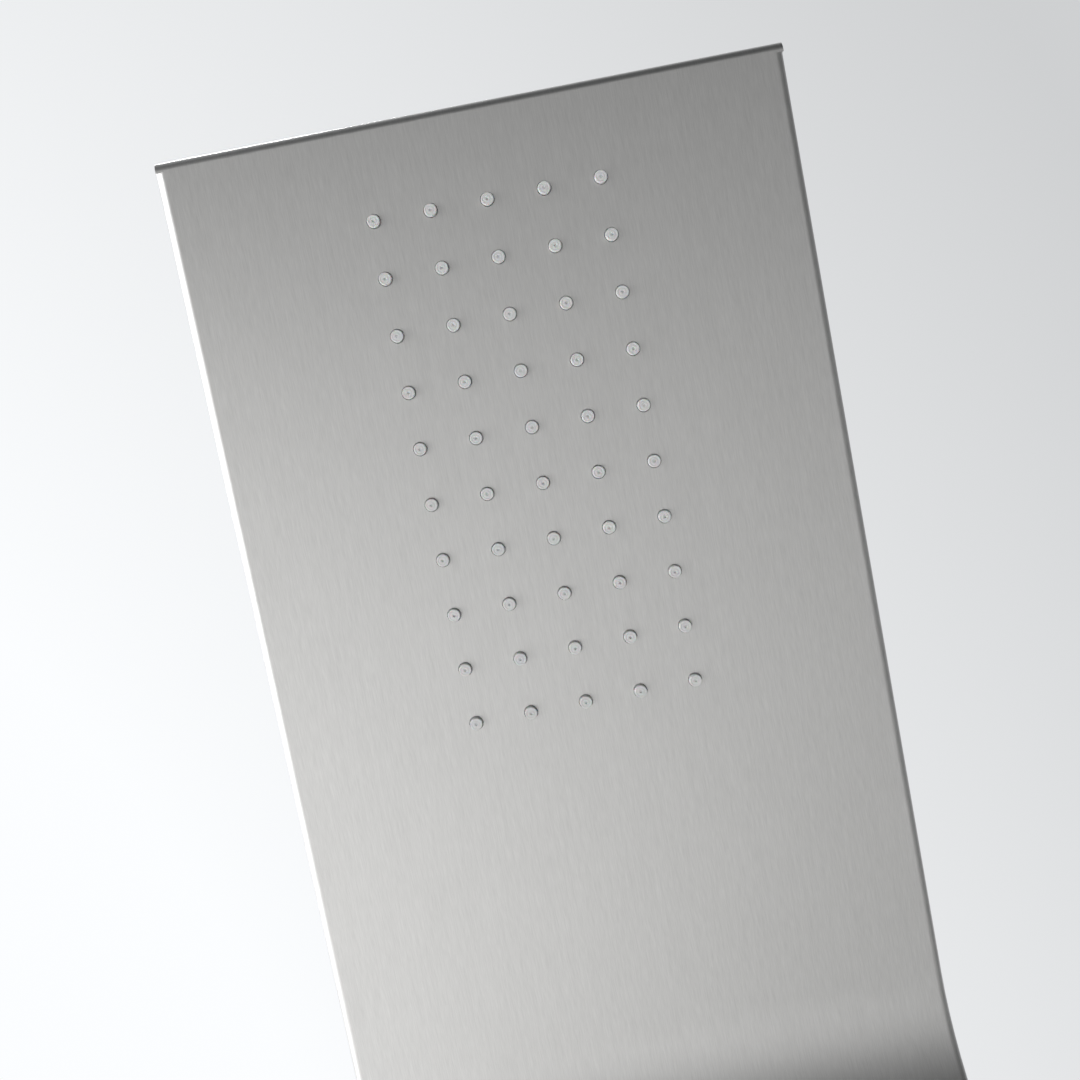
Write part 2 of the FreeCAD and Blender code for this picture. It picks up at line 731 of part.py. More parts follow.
def gland_nut(height):
    """The ring in the neck that keeps the cartridge in."""
    return tube(
        CARTRIDGE_RADIUS + CARTRIDGE_GAP / 2,
        SPINDLE_RADIUS + RUNNING_GAP,
        valve_point(height, 0),
        valve_point(height, -GLAND_LENGTH),
    )


def escutcheon(height):
    """The round plate on the neck, which clamps the valve to the panel."""
    plate = chamfered_rod(
        ESCUTCHEON_RADIUS,
        ESCUTCHEON_CHAMFER,
        valve_point(height, 0),
        valve_point(height, -ESCUTCHEON_THICKNESS),
    )
    bore = rod(NECK_RADIUS + KNOB_FIT, valve_point(height, 0), valve_point(height, -ESCUTCHEON_THICKNESS))
    return plate.cut(bore)


def spindle(height):
    """The turning rod between a knob and its cartridge."""
    return rod(
        SPINDLE_RADIUS,
        valve_point(height, SPINDLE_IN - RUNNING_GAP),
        valve_point(height, -SPINDLE_OUT),
    )


def knob_ends():
    """Depths of a knob's back and front, counted from the front face outwards."""
    back = ESCUTCHEON_THICKNESS + KNOB_GAP
    return back, back + KNOB_LENGTH


def knob_middle(height):
    """The middle of a knob."""
    back, front = knob_ends()
    return valve_point(height, -(back + front) / 2)


def knob(height):
    """A round knob with its spindle hole, its recess over the neck and its seat for the cap."""
    back, front = knob_ends()
    body = chamfered_rod(KNOB_RADIUS, KNOB_CHAMFER, valve_point(height, -back), valve_point(height, -front))
    recess = rod(
        NECK_RADIUS + KNOB_RECESS_GAP,
        valve_point(height, -back),
        valve_point(height, -NECK_OUT - KNOB_RECESS_GAP),
    )
    bore = rod(SPINDLE_RADIUS + KNOB_FIT, valve_point(height, -back), valve_point(height, -SPINDLE_OUT))
    seat = rod(CAP_RADIUS + KNOB_FIT, valve_point(height, -front), valve_point(height, CAP_THICKNESS - front))
    locked = grub_point(height)
    grub = rod(GRUB_RADIUS + KNOB_FIT, locked, locked - ALONG_Z * (KNOB_RADIUS + FAR))
    return body.cut([recess, bore, seat]).cut(grub)


def grub_point(height):
    """Where the grub screw's line crosses the spindle's."""
    back = knob_ends()[0]
    return valve_point(height, -(back + SPINDLE_OUT) / 2)


def grub_screw(height):
    """The screw that locks a knob to its spindle."""
    top = grub_point(height) - ALONG_Z * (SPINDLE_RADIUS + KNOB_FIT)
    return rod(GRUB_RADIUS, top, top - ALONG_Z * GRUB_LENGTH)


def knob_cap(height):
    """The flat disc in the front of a knob."""
    front = knob_ends()[1]
    return rod(CAP_RADIUS, valve_point(height, CAP_THICKNESS - front), valve_point(height, -front))


def diverter_knob():
    """The knob with the hole for its lever."""
    root = knob_middle(DIVERTER_HEIGHT) + ALONG_Z * (KNOB_RADIUS - LEVER_SEAT)
    return knob(DIVERTER_HEIGHT).cut(rod(LEVER_RADIUS + KNOB_FIT, root, root + ALONG_Z * FAR))


def diverter_lever():
    """The pin that the hand turns the diverter by."""
    middle = knob_middle(DIVERTER_HEIGHT)
    root = middle + ALONG_Z * (KNOB_RADIUS - LEVER_SEAT)
    end = middle + ALONG_Z * (KNOB_RADIUS + LEVER_LENGTH)
    return chamfered_rod(LEVER_RADIUS, LEVER_CHAMFER, root, end)


def spring_foot():
    """Where the button's spring stands in the knob."""
    return button_root() - ALONG_Z * (SPRING_PRESSED + BUTTON_TRAVEL)


def button_root():
    """The inner end of the stop button at rest."""
    return knob_middle(MIXER_HEIGHT) + ALONG_Z * (KNOB_RADIUS + BUTTON_OUT - BUTTON_LENGTH)


def temperature_knob():
    """The knob with the hole for the stop button and its spring."""
    foot = spring_foot()
    return knob(MIXER_HEIGHT).cut(rod(BUTTON_RADIUS + RUNNING_GAP, foot, foot + ALONG_Z * FAR))


def stop_button():
    """The button that lets the knob pass the safe temperature."""
    return chamfered_rod(
        BUTTON_RADIUS, BUTTON_CHAMFER, button_root(), button_root() + ALONG_Z * BUTTON_LENGTH
    )


def button_spring():
    """The room that the button's coil spring takes."""
    return tube(SPRING_RADIUS, SPRING_RADIUS - SPRING_WALL, spring_foot(), button_root())


# ---- pipes and outlet

def riser_points():
    """The riser from the diverter, sideways past the jets, up, and along the head to the tray."""
    start = port_end(DIVERTER_HEIGHT, ALONG_Z)
    step = start + ALONG_Z * RISER_STEP
    side = step + Vec(TRAY_INLET_X, 0, RISER_SLANT)
    inlet = HEAD_FRAME.multVec(tray_inlet())
    down = (PORTS - inlet.y) / math.sin(LEAN)
    corner = inlet - UP_THE_HEAD * down
    return [start, step, side, corner, inlet]


def riser_pipe():
    """The pipe to the head."""
    return pipe(riser_points(), [PIPE_BEND, PIPE_BEND, BEND_RADIUS - RISER_TIGHTER])


def mixed_water_pipe():
    """The short pipe from the mixer to the diverter."""
    foot = port_end(MIXER_HEIGHT, ALONG_Z)
    top = port_end(DIVERTER_HEIGHT, -ALONG_Z)
    return rod(PIPE_RADIUS, foot, top).cut(pipe_bore(foot, top))


def jet_port(height):
    """The open end of a jet housing's port, on its left."""
    return Vec(-jet_half_housing() - PORT_LENGTH, PORTS, BOTTOM + height)


def jet_feed_pipe():
    """The pipe to both jets, with a brazed branch to the lower one."""
    start = port_end(DIVERTER_HEIGHT, -ALONG_X)
    top = jet_port(JET_HEIGHTS["upper"])
    branch = jet_port(JET_HEIGHTS["lower"])
    points = [start, Vec(-FEED_X, PORTS, start.z), Vec(-FEED_X, PORTS, top.z), top]
    root = Vec(-FEED_X, PORTS, branch.z)
    path = rounded_path(points, [PIPE_BEND, PIPE_BEND])
    outside = bent_rod(PIPE_RADIUS, path, start, -ALONG_X).fuse(rod(PIPE_RADIUS, root, branch))
    return outside.cut([bent_bore(path, start, -ALONG_X), pipe_bore(root, branch)])


def outlet_top():
    """Where the pipe meets the hose outlet."""
    return Vec(FEED_X, PORTS, BOTTOM + SHEET + OUTLET_HEX_LENGTH + PORT_LENGTH)


def handset_pipe():
    """The pipe from the diverter down to the hose outlet."""
    start = port_end(DIVERTER_HEIGHT, ALONG_X)
    return pipe([start, Vec(FEED_X, PORTS, start.z), outlet_top()], [PIPE_BEND])


def pipe_nuts():
    """A compression nut over each joint of pipe and port."""
    inlet = HEAD_FRAME.multVec(tray_inlet())
    joints = [
        (port_end(DIVERTER_HEIGHT, ALONG_Z), ALONG_Z),
        (port_end(DIVERTER_HEIGHT, -ALONG_Z), ALONG_Z),
        (port_end(MIXER_HEIGHT, ALONG_Z), ALONG_Z),
        (port_end(DIVERTER_HEIGHT, ALONG_X), ALONG_X),
        (port_end(DIVERTER_HEIGHT, -ALONG_X), ALONG_X),
        (outlet_top(), ALONG_Z),
        (inlet, UP_THE_HEAD),
    ]
    joints += [(jet_port(height), ALONG_X) for height in JET_HEIGHTS.values()]
    nuts = []
    for place, along in joints:
        half = along * (PIPE_NUT_LENGTH / 2)
        corner = ALONG_Z if along == ALONG_X else ALONG_X
        nut = hexagon(PIPE_NUT_WIDTH, place - half, place + half, corner)
        nuts.append(nut.cut(rod(PIPE_RADIUS + PIPE_NUT_GAP, place - half, place + half)))
    return group(nuts)


def hose_outlet():
    """The fitting through the bottom edge: hexagon and pipe stub inside, half-inch thread below."""
    base = Vec(FEED_X, PORTS, BOTTOM)
    inner = base + ALONG_Z * SHEET
    hexed = inner + ALONG_Z * OUTLET_HEX_LENGTH
    neck_end = base - ALONG_Z * OUTLET_NUT_LENGTH
    foot = neck_end - ALONG_Z * THREAD_LENGTH
    body = hexagon(OUTLET_HEX_WIDTH, inner, hexed)
    neck = rod(OUTLET_NECK_RADIUS, inner + ALONG_Z * JOIN_DEPTH, neck_end)
    thread = rod(THREAD_RADIUS, neck_end + ALONG_Z * JOIN_DEPTH, foot)
    stub = rod(PIPE_RADIUS, inner, outlet_top())
    return body.fuse([neck, thread, stub]).cut(pipe_bore(outlet_top(), foot))


def hose_outlet_nut():
    """The flat nut that clamps the outlet to the bottom edge."""
    base = Vec(FEED_X, PORTS, BOTTOM)
    foot = base - ALONG_Z * OUTLET_NUT_LENGTH
    return hexagon(OUTLET_NUT_WIDTH, base, foot).cut(rod(OUTLET_NECK_RADIUS + KNOB_FIT, base, foot))


# ---- body jets

def jet_axis(height):
    """The middle of a jet's tilting axis."""
    return valve_point(height, JET_AXIS_DEPTH)


def jet_half_housing():
    """Half the length of a jet's housing, side walls included."""
    return JET_LENGTH / 2 + JET_GAP + HOUSING_SIDE


def jet_half_window():
    """Half width and half height of the window that a jet looks through."""
    reach = JET_AXIS_DEPTH - SHEET
    return JET_LENGTH / 2 + JET_SIDE_GAP, math.sqrt(JET_RADIUS ** 2 - reach ** 2) + BEZEL_GAP


def jet_window(height, depth):
    """The window of a jet, as a block between two values of Y."""
    half_x, half_z = jet_half_window()
    z = BOTTOM + height
    return block((-half_x, half_x), depth, (z - half_z, z + half_z))


def jet_bosses(height):
    """Centres of a bezel's four bosses on the front face."""
    half_x, half_z = jet_half_window()
    x = half_x + BEZEL_BORDER_X - BOSS_INSET
    z = half_z + BEZEL_BORDER_Z - BOSS_INSET
    centre = valve_point(height, 0)
    return [centre + Vec(i * x, 0, j * z) for i in (-1, 1) for j in (-1, 1)]


def jet_bezel(height):
    """The frame on the front of the panel, with a boss behind each corner."""
    half_x, half_z = jet_half_window()
    z = BOTTOM + height
    x = half_x + BEZEL_BORDER_X
    reach = half_z + BEZEL_BORDER_Z
    plate = block((-x, x), (FRONT - BEZEL_THICKNESS, FRONT), (z - reach, z + reach))
    outer = [e for e in plate.Edges if abs(e.CenterOfMass.y - FRONT + BEZEL_THICKNESS) < 0.01]
    plate = plate.makeChamfer(BEZEL_CHAMFER, outer)
    plate = plate.cut(jet_window(height, (FRONT - 2 * BEZEL_THICKNESS, FRONT + SHEET)))
    rear = ALONG_Y * SHEET
    bite = ALONG_Y * JET_SCREW_BITE
    bosses = []
    holes = []
    for place in jet_bosses(height):
        bosses.append(bar(STEM_SIDES, BOSS_RADIUS, place, place + rear))
        holes.append(bar(STEM_SIDES, JET_SCREW_RADIUS + KNOB_FIT, place + rear, place + rear - bite))
    return plate.fuse(bosses).cut(holes)


def jet_housing(height):
    """The box behind the panel that the barrel tilts in, with its flange and its port."""
    axis = jet_axis(height)
    half = jet_half_housing()
    half_x, half_z = jet_half_window()
    outer = JET_RADIUS + JET_GAP + HOUSING_WALL
    box = block((-half, half), (INSIDE, axis.y + outer), (axis.z - outer, axis.z + outer))
    x = half_x + BEZEL_BORDER_X
    z = half_z + BEZEL_BORDER_Z
    flange = block((-x, x), (INSIDE, INSIDE + HOUSING_FLANGE), (axis.z - z, axis.z + z))
    port = jet_port(height)
    stub = rod(PIPE_RADIUS, port, port + ALONG_X * (PORT_LENGTH + HOUSING_SIDE / 2))
    room = ALONG_X * (JET_LENGTH / 2 + JET_GAP)
    hollow = rod(JET_RADIUS + JET_GAP, axis - room, axis + room)
    mouth = jet_window(height, (INSIDE - SHEET, axis.y))
    pins = ALONG_X * (JET_LENGTH / 2 + JET_PIN_LENGTH + JET_PIN_END_GAP)
    seats = rod(JET_PIN_RADIUS + RUNNING_GAP, axis - pins, axis + pins)
    inflow = rod(PIPE_BORE_RADIUS / 2, port, port + ALONG_X * (PORT_LENGTH + 2 * HOUSING_SIDE))
    hole = JET_SCREW_RADIUS + SCREW_HOLE_GAP
    front = ALONG_Y * SHEET
    rear = ALONG_Y * (SHEET + HOUSING_FLANGE)
    holes = [bar(STEM_SIDES, hole, place + front, place + rear) for place in jet_bosses(height)]
    return box.fuse([flange, stub]).cut([hollow, mouth, seats, inflow] + holes)


def jet_nozzle_places(height):
    """Centres of a jet's nozzles on its flat face."""
    centre = valve_point(height, -JET_FACE_OUT)
    places = []
    for row in range(JET_NOZZLE_ROWS):
        for column in range(JET_NOZZLE_COLUMNS):
            x = (column - (JET_NOZZLE_COLUMNS - 1) / 2) * JET_NOZZLE_PITCH_X
            z = (row - (JET_NOZZLE_ROWS - 1) / 2) * JET_NOZZLE_PITCH_Z
            places.append(centre + Vec(x, 0, z))
    return places


def jet_barrel(height):
    """The tilting barrel: a flat face in front, round behind, open at the back for the water."""
    axis = jet_axis(height)
    half = ALONG_X * (JET_LENGTH / 2)
    inner = ALONG_X * (JET_LENGTH / 2 - JET_WALL)
    pins = ALONG_X * (JET_LENGTH / 2 + JET_PIN_LENGTH)
    face = FRONT - JET_FACE_OUT
    tall = JET_RADIUS + FAR
    x = (-tall - JET_LENGTH, tall + JET_LENGTH)
    z = (axis.z - tall, axis.z + tall)
    outside = rod(JET_RADIUS, axis - half, axis + half).cut(block(x, (face - FAR, face), z))
    hollow = rod(JET_RADIUS - JET_WALL, axis - inner, axis + inner)
    hollow = hollow.cut(block(x, (face - FAR, face + JET_WALL), z))
    slot = block(
        (-inner.x, inner.x),
        (axis.y + JET_SLOT_DEPTH, axis.y + tall),
        z,
    )
    barrel = outside.cut(hollow).cut(slot)
    stubs = [
        rod(JET_PIN_RADIUS, axis - pins, axis - inner - ALONG_X * (JET_WALL / 2)),
        rod(JET_PIN_RADIUS, axis + pins, axis + inner + ALONG_X * (JET_WALL / 2)),
    ]
    hole = JET_NOZZLE_RADIUS + JET_NOZZLE_GAP
    holes = [
        bar(HOLE_SIDES, hole, place, place + ALONG_Y * JET_WALL) for place in jet_nozzle_places(height)
    ]
    return barrel.fuse(stubs).cut(holes)


def jet_nozzles(height):
    """A silicone strip inside the barrel's face, with a nozzle through every hole."""
    places = jet_nozzle_places(height)
    back = FRONT - JET_FACE_OUT + JET_WALL
    half_x = (JET_NOZZLE_COLUMNS - 1) / 2 * JET_NOZZLE_PITCH_X + JET_MAT_MARGIN
    half_z = (JET_NOZZLE_ROWS - 1) / 2 * JET_NOZZLE_PITCH_Z + JET_MAT_MARGIN
    z = BOTTOM + height
    mat = block((-half_x, half_x), (back, back + JET_MAT_THICKNESS), (z - half_z, z + half_z))
    root = ALONG_Y * JET_WALL
    through = ALONG_Y * (JET_WALL + JET_MAT_THICKNESS)
    end = -ALONG_Y * JET_NOZZLE_OUT
    tip = JET_NOZZLE_RADIUS - NOZZLE_TAPER
    stems = [tapered_bar(STEM_SIDES, JET_NOZZLE_RADIUS, tip, p + root, p + end) for p in places]
    bores = [bar(BORE_SIDES, JET_NOZZLE_BORE, p + through, p + end) for p in places]
    return mat.fuse(stems).cut(bores)


def jet_screws():
    """Screws through each housing's flange into its bezel."""
    screws = []
    for height in JET_HEIGHTS.values():
        for place in jet_bosses(height):
            seat = place + ALONG_Y * (SHEET + HOUSING_FLANGE)
            shank = bar(STEM_SIDES, JET_SCREW_RADIUS, seat, place + ALONG_Y * (SHEET - JET_SCREW_BITE))
            head = bar(STEM_SIDES, JET_SCREW_HEAD, seat, seat + ALONG_Y * JET_SCREW_HEAD_HEIGHT)
            screws.append(shank.fuse(head))
    return group(screws)


# ---- handset holder

def holder_pivot():
    """The middle of the pin that the cup tilts on."""
    return valve_point(HOLDER_HEIGHT, -HOLDER_BASE_THICKNESS - PIVOT_OUT)


def ear_inside():
    """Half the gap between the ears."""
    return TONGUE_WIDTH / 2 + TONGUE_GAP


def holder_base():
    """The plate on the panel with two ears for the pin."""
    pivot = holder_pivot()
    half = HOLDER_BASE_WIDTH / 2
    face = FRONT - HOLDER_BASE_THICKNESS
    plate = block((-half, half), (face, FRONT), (pivot.z - half, pivot.z + half))
    outer = [e for e in plate.Edges if abs(e.CenterOfMass.y - face) < 0.01]
    plate = plate.makeChamfer(HOLDER_BASE_CHAMFER, outer)
    inner = ear_inside()
    ears = []
    for side in (-1, 1):
        x = (side * inner, side * (inner + EAR_THICKNESS))
        ears.append(block(x, (pivot.y, face), (pivot.z - EAR_RADIUS, pivot.z + EAR_RADIUS)))
        ears.append(rod(EAR_RADIUS, Vec(x[0], pivot.y, pivot.z), Vec(x[1], pivot.y, pivot.z)))
    reach = ALONG_X * (inner + 2 * EAR_THICKNESS)
    pin_hole = rod(PIN_RADIUS + KNOB_FIT, pivot - reach, pivot + reach)
    front = Vec(0, face, pivot.z)
    shank = rod(HOLDER_BOLT_RADIUS + HOLDER_BOLT_GAP, front, front + ALONG_Y * HOLDER_BASE_THICKNESS)
    head = rod(HOLDER_BOLT_HEAD + HOLDER_BOLT_GAP, front, front + ALONG_Y * HOLDER_BOLT_HEAD_HEIGHT)
    return plate.fuse(ears).removeSplitter().cut([pin_hole, shank, head])


def holder_pin():
    """The headed pin through ears and tongue."""
    pivot = holder_pivot()
    reach = ALONG_X * (ear_inside() + EAR_THICKNESS)
    head = ALONG_X * PIN_HEAD_LENGTH
    return rod(PIN_RADIUS, pivot - reach, pivot + reach).fuse([
        rod(PIN_HEAD_RADIUS, pivot + reach, pivot + reach + head),
        rod(PIN_HEAD_RADIUS, pivot - reach, pivot - reach - head),
    ])


def holder_fasteners():
    """Bolt, washer and nut that hold the holder's base to the panel."""
    seat = Vec(0, FRONT - HOLDER_BASE_THICKNESS + HOLDER_BOLT_HEAD_HEIGHT, holder_pivot().z)
    inside = Vec(0, INSIDE, seat.z)
    washer_end = inside + ALONG_Y * HOLDER_WASHER_THICKNESS
    nut_end = washer_end + ALONG_Y * HOLDER_NUT_LENGTH
    head = rod(HOLDER_BOLT_HEAD, seat - ALONG_Y * HOLDER_BOLT_HEAD_HEIGHT, seat)
    bolt = head.fuse(rod(HOLDER_BOLT_RADIUS, seat, nut_end + ALONG_Y * HOLDER_BOLT_FREE))
    hole = HOLDER_BOLT_RADIUS + KNOB_FIT
    washer = tube(HOLDER_WASHER_RADIUS, hole, inside, washer_end)
    nut = hexagon(HOLDER_NUT_WIDTH, washer_end, nut_end).cut(rod(hole, washer_end, nut_end))
    return group([bolt, washer, nut])


def holder_cup():
    """The slotted cup for the handset's stem, with the tongue that tilts on the pin."""
    pivot = holder_pivot()
    centre = pivot - ALONG_Y * CUP_REACH
    up = ALONG_Z * (CUP_HEIGHT / 2)
    wall = rod(CUP_RADIUS, centre - up, centre + up)
    half = TONGUE_WIDTH / 2
    z = (pivot.z - TONGUE_RADIUS, pivot.z + TONGUE_RADIUS)
    tongue = block((-half, half), (centre.y + CUP_BORE, pivot.y), z)
    boss = rod(TONGUE_RADIUS, pivot - ALONG_X * half, pivot + ALONG_X * half)
    bore = rod(CUP_BORE, centre - up, centre + up)
    slot = block(
        (-CUP_SLOT / 2, CUP_SLOT / 2),
        (centre.y - CUP_RADIUS - FAR, centre.y),
        (centre.z - CUP_HEIGHT, centre.z + CUP_HEIGHT),
    )
    pin_hole = rod(PIN_RADIUS + RUNNING_GAP, pivot - ALONG_X * half, pivot + ALONG_X * half)
    return wall.fuse([tongue, boss]).removeSplitter().cut([bore, slot, pin_hole])


# ---- hanging the panel on the wall

def fix_height(name):
    """Height of a bracket's screw holes in the part's own frame."""
    return {"lower": -FIX_SPACING_Z / 2, "upper": FIX_SPACING_Z / 2}[name]


def wall_bracket(name):
    """A plate on the wall whose top edge comes forward and up as a lip."""
    z = fix_height(name)
    x = (-BRACKET_WIDTH / 2, BRACKET_WIDTH / 2)
    top = z + BRACKET_HEIGHT / 2
    plate = block(x, (-BRACKET_SHEET, 0), (z - BRACKET_HEIGHT / 2, top))
    shelf = block(x, (-BRACKET_REACH, 0), (top - BRACKET_SHEET, top))
    lip = block(x, (-BRACKET_REACH, BRACKET_SHEET - BRACKET_REACH), (top - BRACKET_SHEET, top + BRACKET_LIP))
    holes = []
    for side in (-1, 1):
        wall = Vec(side * FIX_SPACING_X / 2, 0, z)
        holes.append(rod(FIX_HOLE_RADIUS, wall - ALONG_Y * BRACKET_SHEET, wall))
    return plate.fuse([shelf, lip]).removeSplitter().cut(holes)


def hanger_rail(name):
    """The rail welded between the folded sides, which hooks over a bracket's lip."""
    lip_top = fix_height(name) + BRACKET_HEIGHT / 2 + BRACKET_LIP
    front = -BRACKET_REACH - RAIL_GAP - RAIL_SHEET
    hook = -BRACKET_REACH + BRACKET_SHEET + RAIL_GAP
    x = (-HALF_INSIDE, HALF_INSIDE)
    web = block(x, (front, front + RAIL_SHEET), (lip_top - RAIL_DROP, lip_top + RAIL_SHEET))
    roof = block(x, (front, hook + RAIL_SHEET), (lip_top, lip_top + RAIL_SHEET))
    hook_web = block(x, (hook, hook + RAIL_SHEET), (lip_top - BRACKET_LIP + RAIL_GAP, lip_top + RAIL_SHEET))
    return web.fuse([roof, hook_web]).removeSplitter()


# ---- everything, one file for each node

def pieces():
    """Every node's name with the function that makes it."""
    made = {
        "front_panel": panel,
        "nozzle_mat": nozzle_mat,
        "spray_tray": spray_tray,
        "tray_studs": tray_studs,
        "tray_nuts": tray_nuts,
        "head_back_cover": head_back_cover,
        "cover_tabs": cover_tabs,
        "cover_screws": cover_screws,
        "riser_pipe": riser_pipe,
        "mixed_water_pipe": mixed_water_pipe,
        "jet_feed_pipe": jet_feed_pipe,
        "handset_pipe": handset_pipe,
        "pipe_nuts": pipe_nuts,
        "hose_outlet": hose_outlet,
        "hose_outlet_nut": hose_outlet_nut,
        "mixer_body": mixer_body,
        "thermostatic_cartridge": lambda: cartridge(MIXER_HEIGHT),
        "mixer_gland_nut": lambda: gland_nut(MIXER_HEIGHT),
        "mixer_escutcheon": lambda: escutcheon(MIXER_HEIGHT),
        "check_valves": lambda: in_inlets(
            INLET_BORE - RUNNING_GAP, FILTER_THICKNESS, FILTER_THICKNESS + CHECK_VALVE_LENGTH
        ),
        "inlet_filters": lambda: in_inlets(INLET_BORE - RUNNING_GAP, 0, FILTER_THICKNESS, FILTER_HOLE),
        "diverter_body": diverter_body,
        "diverter_cartridge": lambda: cartridge(DIVERTER_HEIGHT),
        "diverter_gland_nut": lambda: gland_nut(DIVERTER_HEIGHT),
        "diverter_escutcheon": lambda: escutcheon(DIVERTER_HEIGHT),
        "temperature_knob": temperature_knob,
        "temperature_knob_cap": lambda: knob_cap(MIXER_HEIGHT),
        "temperature_spindle": lambda: spindle(MIXER_HEIGHT),
        "temperature_grub_screw": lambda: grub_screw(MIXER_HEIGHT),
        "stop_button": stop_button,
        "stop_button_spring": button_spring,
        "diverter_knob": diverter_knob,
        "diverter_knob_cap": lambda: knob_cap(DIVERTER_HEIGHT),
        "diverter_lever": diverter_lever,
        "diverter_spindle": lambda: spindle(DIVERTER_HEIGHT),
        "diverter_grub_screw": lambda: grub_screw(DIVERTER_HEIGHT),
        "jet_screws": jet_screws,
        "holder_base": holder_base,
        "holder_pin": holder_pin,
        "holder_fasteners": holder_fasteners,
        "holder_cup": holder_cup,
    }
    for name in ("lower", "upper"):
        height = JET_HEIGHTS[name]
        made[name + "_jet_bezel"] = lambda height=height: jet_bezel(height)
        made[name + "_jet_housing"] = lambda height=height: jet_housing(height)
        made[name + "_jet_barrel"] = lambda height=height: jet_barrel(height)
        made[name + "_jet_nozzles"] = lambda height=height: jet_nozzles(height)
        made[name + "_wall_bracket"] = lambda name=name: wall_bracket(name)
        made[name + "_hanger_rail"] = lambda name=name: hanger_rail(name)
    return made


def main():
    """Builds every piece and writes its file."""
    os.makedirs("parts", exist_ok=True)
    for name, make in pieces().items():
        shape = make()
        shape.exportStep(os.path.join("parts", name + ".step"))
        state = "ok" if shape.isValid() else "INVALID"
        print(name, len(shape.Solids), "solids", round(shape.Volume), "mm3", state)


main()
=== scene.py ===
"""A wall-hung shower panel of folded, brushed steel, dressed round its packed construction model.

The leaning head with its field of silicone nozzles faces the camera, which looks up at it from below.
Lengths in the classes are metres, in the model's own frame: X across the panel, +Y into the wall, +Z up.
"""
import json
import logging
import math
from dataclasses import dataclass, field
from enum import Enum
from typing import Callable, Sequence

import bmesh
import bpy
import numpy as np
from mathutils import Matrix, Vector

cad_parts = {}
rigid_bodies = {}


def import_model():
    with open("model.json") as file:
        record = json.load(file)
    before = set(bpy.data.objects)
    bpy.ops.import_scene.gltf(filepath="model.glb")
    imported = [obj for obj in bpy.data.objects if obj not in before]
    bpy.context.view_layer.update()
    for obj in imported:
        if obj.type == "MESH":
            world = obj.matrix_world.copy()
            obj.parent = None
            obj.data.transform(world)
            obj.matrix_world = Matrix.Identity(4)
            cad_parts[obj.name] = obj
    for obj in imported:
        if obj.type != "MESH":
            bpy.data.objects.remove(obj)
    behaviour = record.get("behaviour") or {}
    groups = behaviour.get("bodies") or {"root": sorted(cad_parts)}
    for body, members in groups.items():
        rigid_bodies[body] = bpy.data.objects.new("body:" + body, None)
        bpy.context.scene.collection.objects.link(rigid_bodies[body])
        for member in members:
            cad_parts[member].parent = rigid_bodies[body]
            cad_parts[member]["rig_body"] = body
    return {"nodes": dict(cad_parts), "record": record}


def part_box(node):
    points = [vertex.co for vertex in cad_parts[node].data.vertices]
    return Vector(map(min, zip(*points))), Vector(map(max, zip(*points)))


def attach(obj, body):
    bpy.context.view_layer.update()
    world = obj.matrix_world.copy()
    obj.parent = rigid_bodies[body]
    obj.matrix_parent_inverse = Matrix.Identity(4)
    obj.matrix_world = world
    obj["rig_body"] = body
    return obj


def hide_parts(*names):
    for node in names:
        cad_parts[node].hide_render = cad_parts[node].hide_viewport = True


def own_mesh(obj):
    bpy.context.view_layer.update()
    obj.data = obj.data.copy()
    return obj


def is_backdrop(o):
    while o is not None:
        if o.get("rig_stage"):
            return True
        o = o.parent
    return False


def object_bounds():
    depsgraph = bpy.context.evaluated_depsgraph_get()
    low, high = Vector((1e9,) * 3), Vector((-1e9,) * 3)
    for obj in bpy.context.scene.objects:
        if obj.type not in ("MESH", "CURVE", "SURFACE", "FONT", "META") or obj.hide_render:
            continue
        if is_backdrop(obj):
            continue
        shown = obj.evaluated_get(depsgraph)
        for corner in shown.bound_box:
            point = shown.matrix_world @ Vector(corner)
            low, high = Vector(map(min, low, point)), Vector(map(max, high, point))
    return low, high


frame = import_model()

LOG = logging.getLogger("shower_panel")
MM = 0.001
PHOTO_PIXELS = 1080
SENSOR_MM = 36.0
SHEET_MAP = "sheet"
PRINT_THICKNESS = 0.03 * MM
CORNER_STEPS = 6
USUAL_NOISE = (0.3, 0.7)


class Slot(Enum):
    """The record's material slots."""

    BRUSHED = "brushed_stainless"
    STAINLESS = "plain_stainless"
    STEEL = "bright_steel"
    BRASS = "cast_brass"
    CHROME = "bright_chrome"
    SILICONE = "pale_silicone"
    JETS = "jet_silicone"
    BLACK = "black_plastic"
    RED = "red_plastic"


Socket = bpy.types.NodeSocket
Colour = tuple[float, float, float]
Finished = dict[Slot, bpy.types.Material]


# ---- where the construction model is

@dataclass(frozen=True)
class Facing:
    """A local frame on one of the panel's faces: X across, Y up the face and Z out of it.

    Attributes:
        origin: Where the frame starts, on the face.
        up: Direction up the face.
    """

    origin: Vector
    up: Vector

    @property
    def out(self) -> Vector:
        """Direction out of the face."""
        return Vector((1, 0, 0)).cross(self.up)

    @property
    def matrix(self) -> Matrix:
        """Takes points of this frame to the model's frame."""
        axes = Matrix((Vector((1, 0, 0)), self.up, self.out)).transposed()
        return Matrix.Translation(self.origin) @ axes.to_4x4()

    def moved(self, across: float = 0.0, up: float = 0.0, out: float = 0.0) -> "Facing":
        """The same frame at another place, given in its own directions."""
        return Facing(self.matrix @ Vector((across, up, out)), self.up)

    def box(self, node: str) -> tuple[Vector, Vector]:
        """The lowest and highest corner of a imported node, in this frame."""
        inverse = self.matrix.inverted()
        places = [inverse @ vertex.co for vertex in frame["nodes"][node].data.vertices]
        low = Vector(min(place[axis] for place in places) for axis in range(3))
        high = Vector(max(place[axis] for place in places) for axis in range(3))
        return low, high


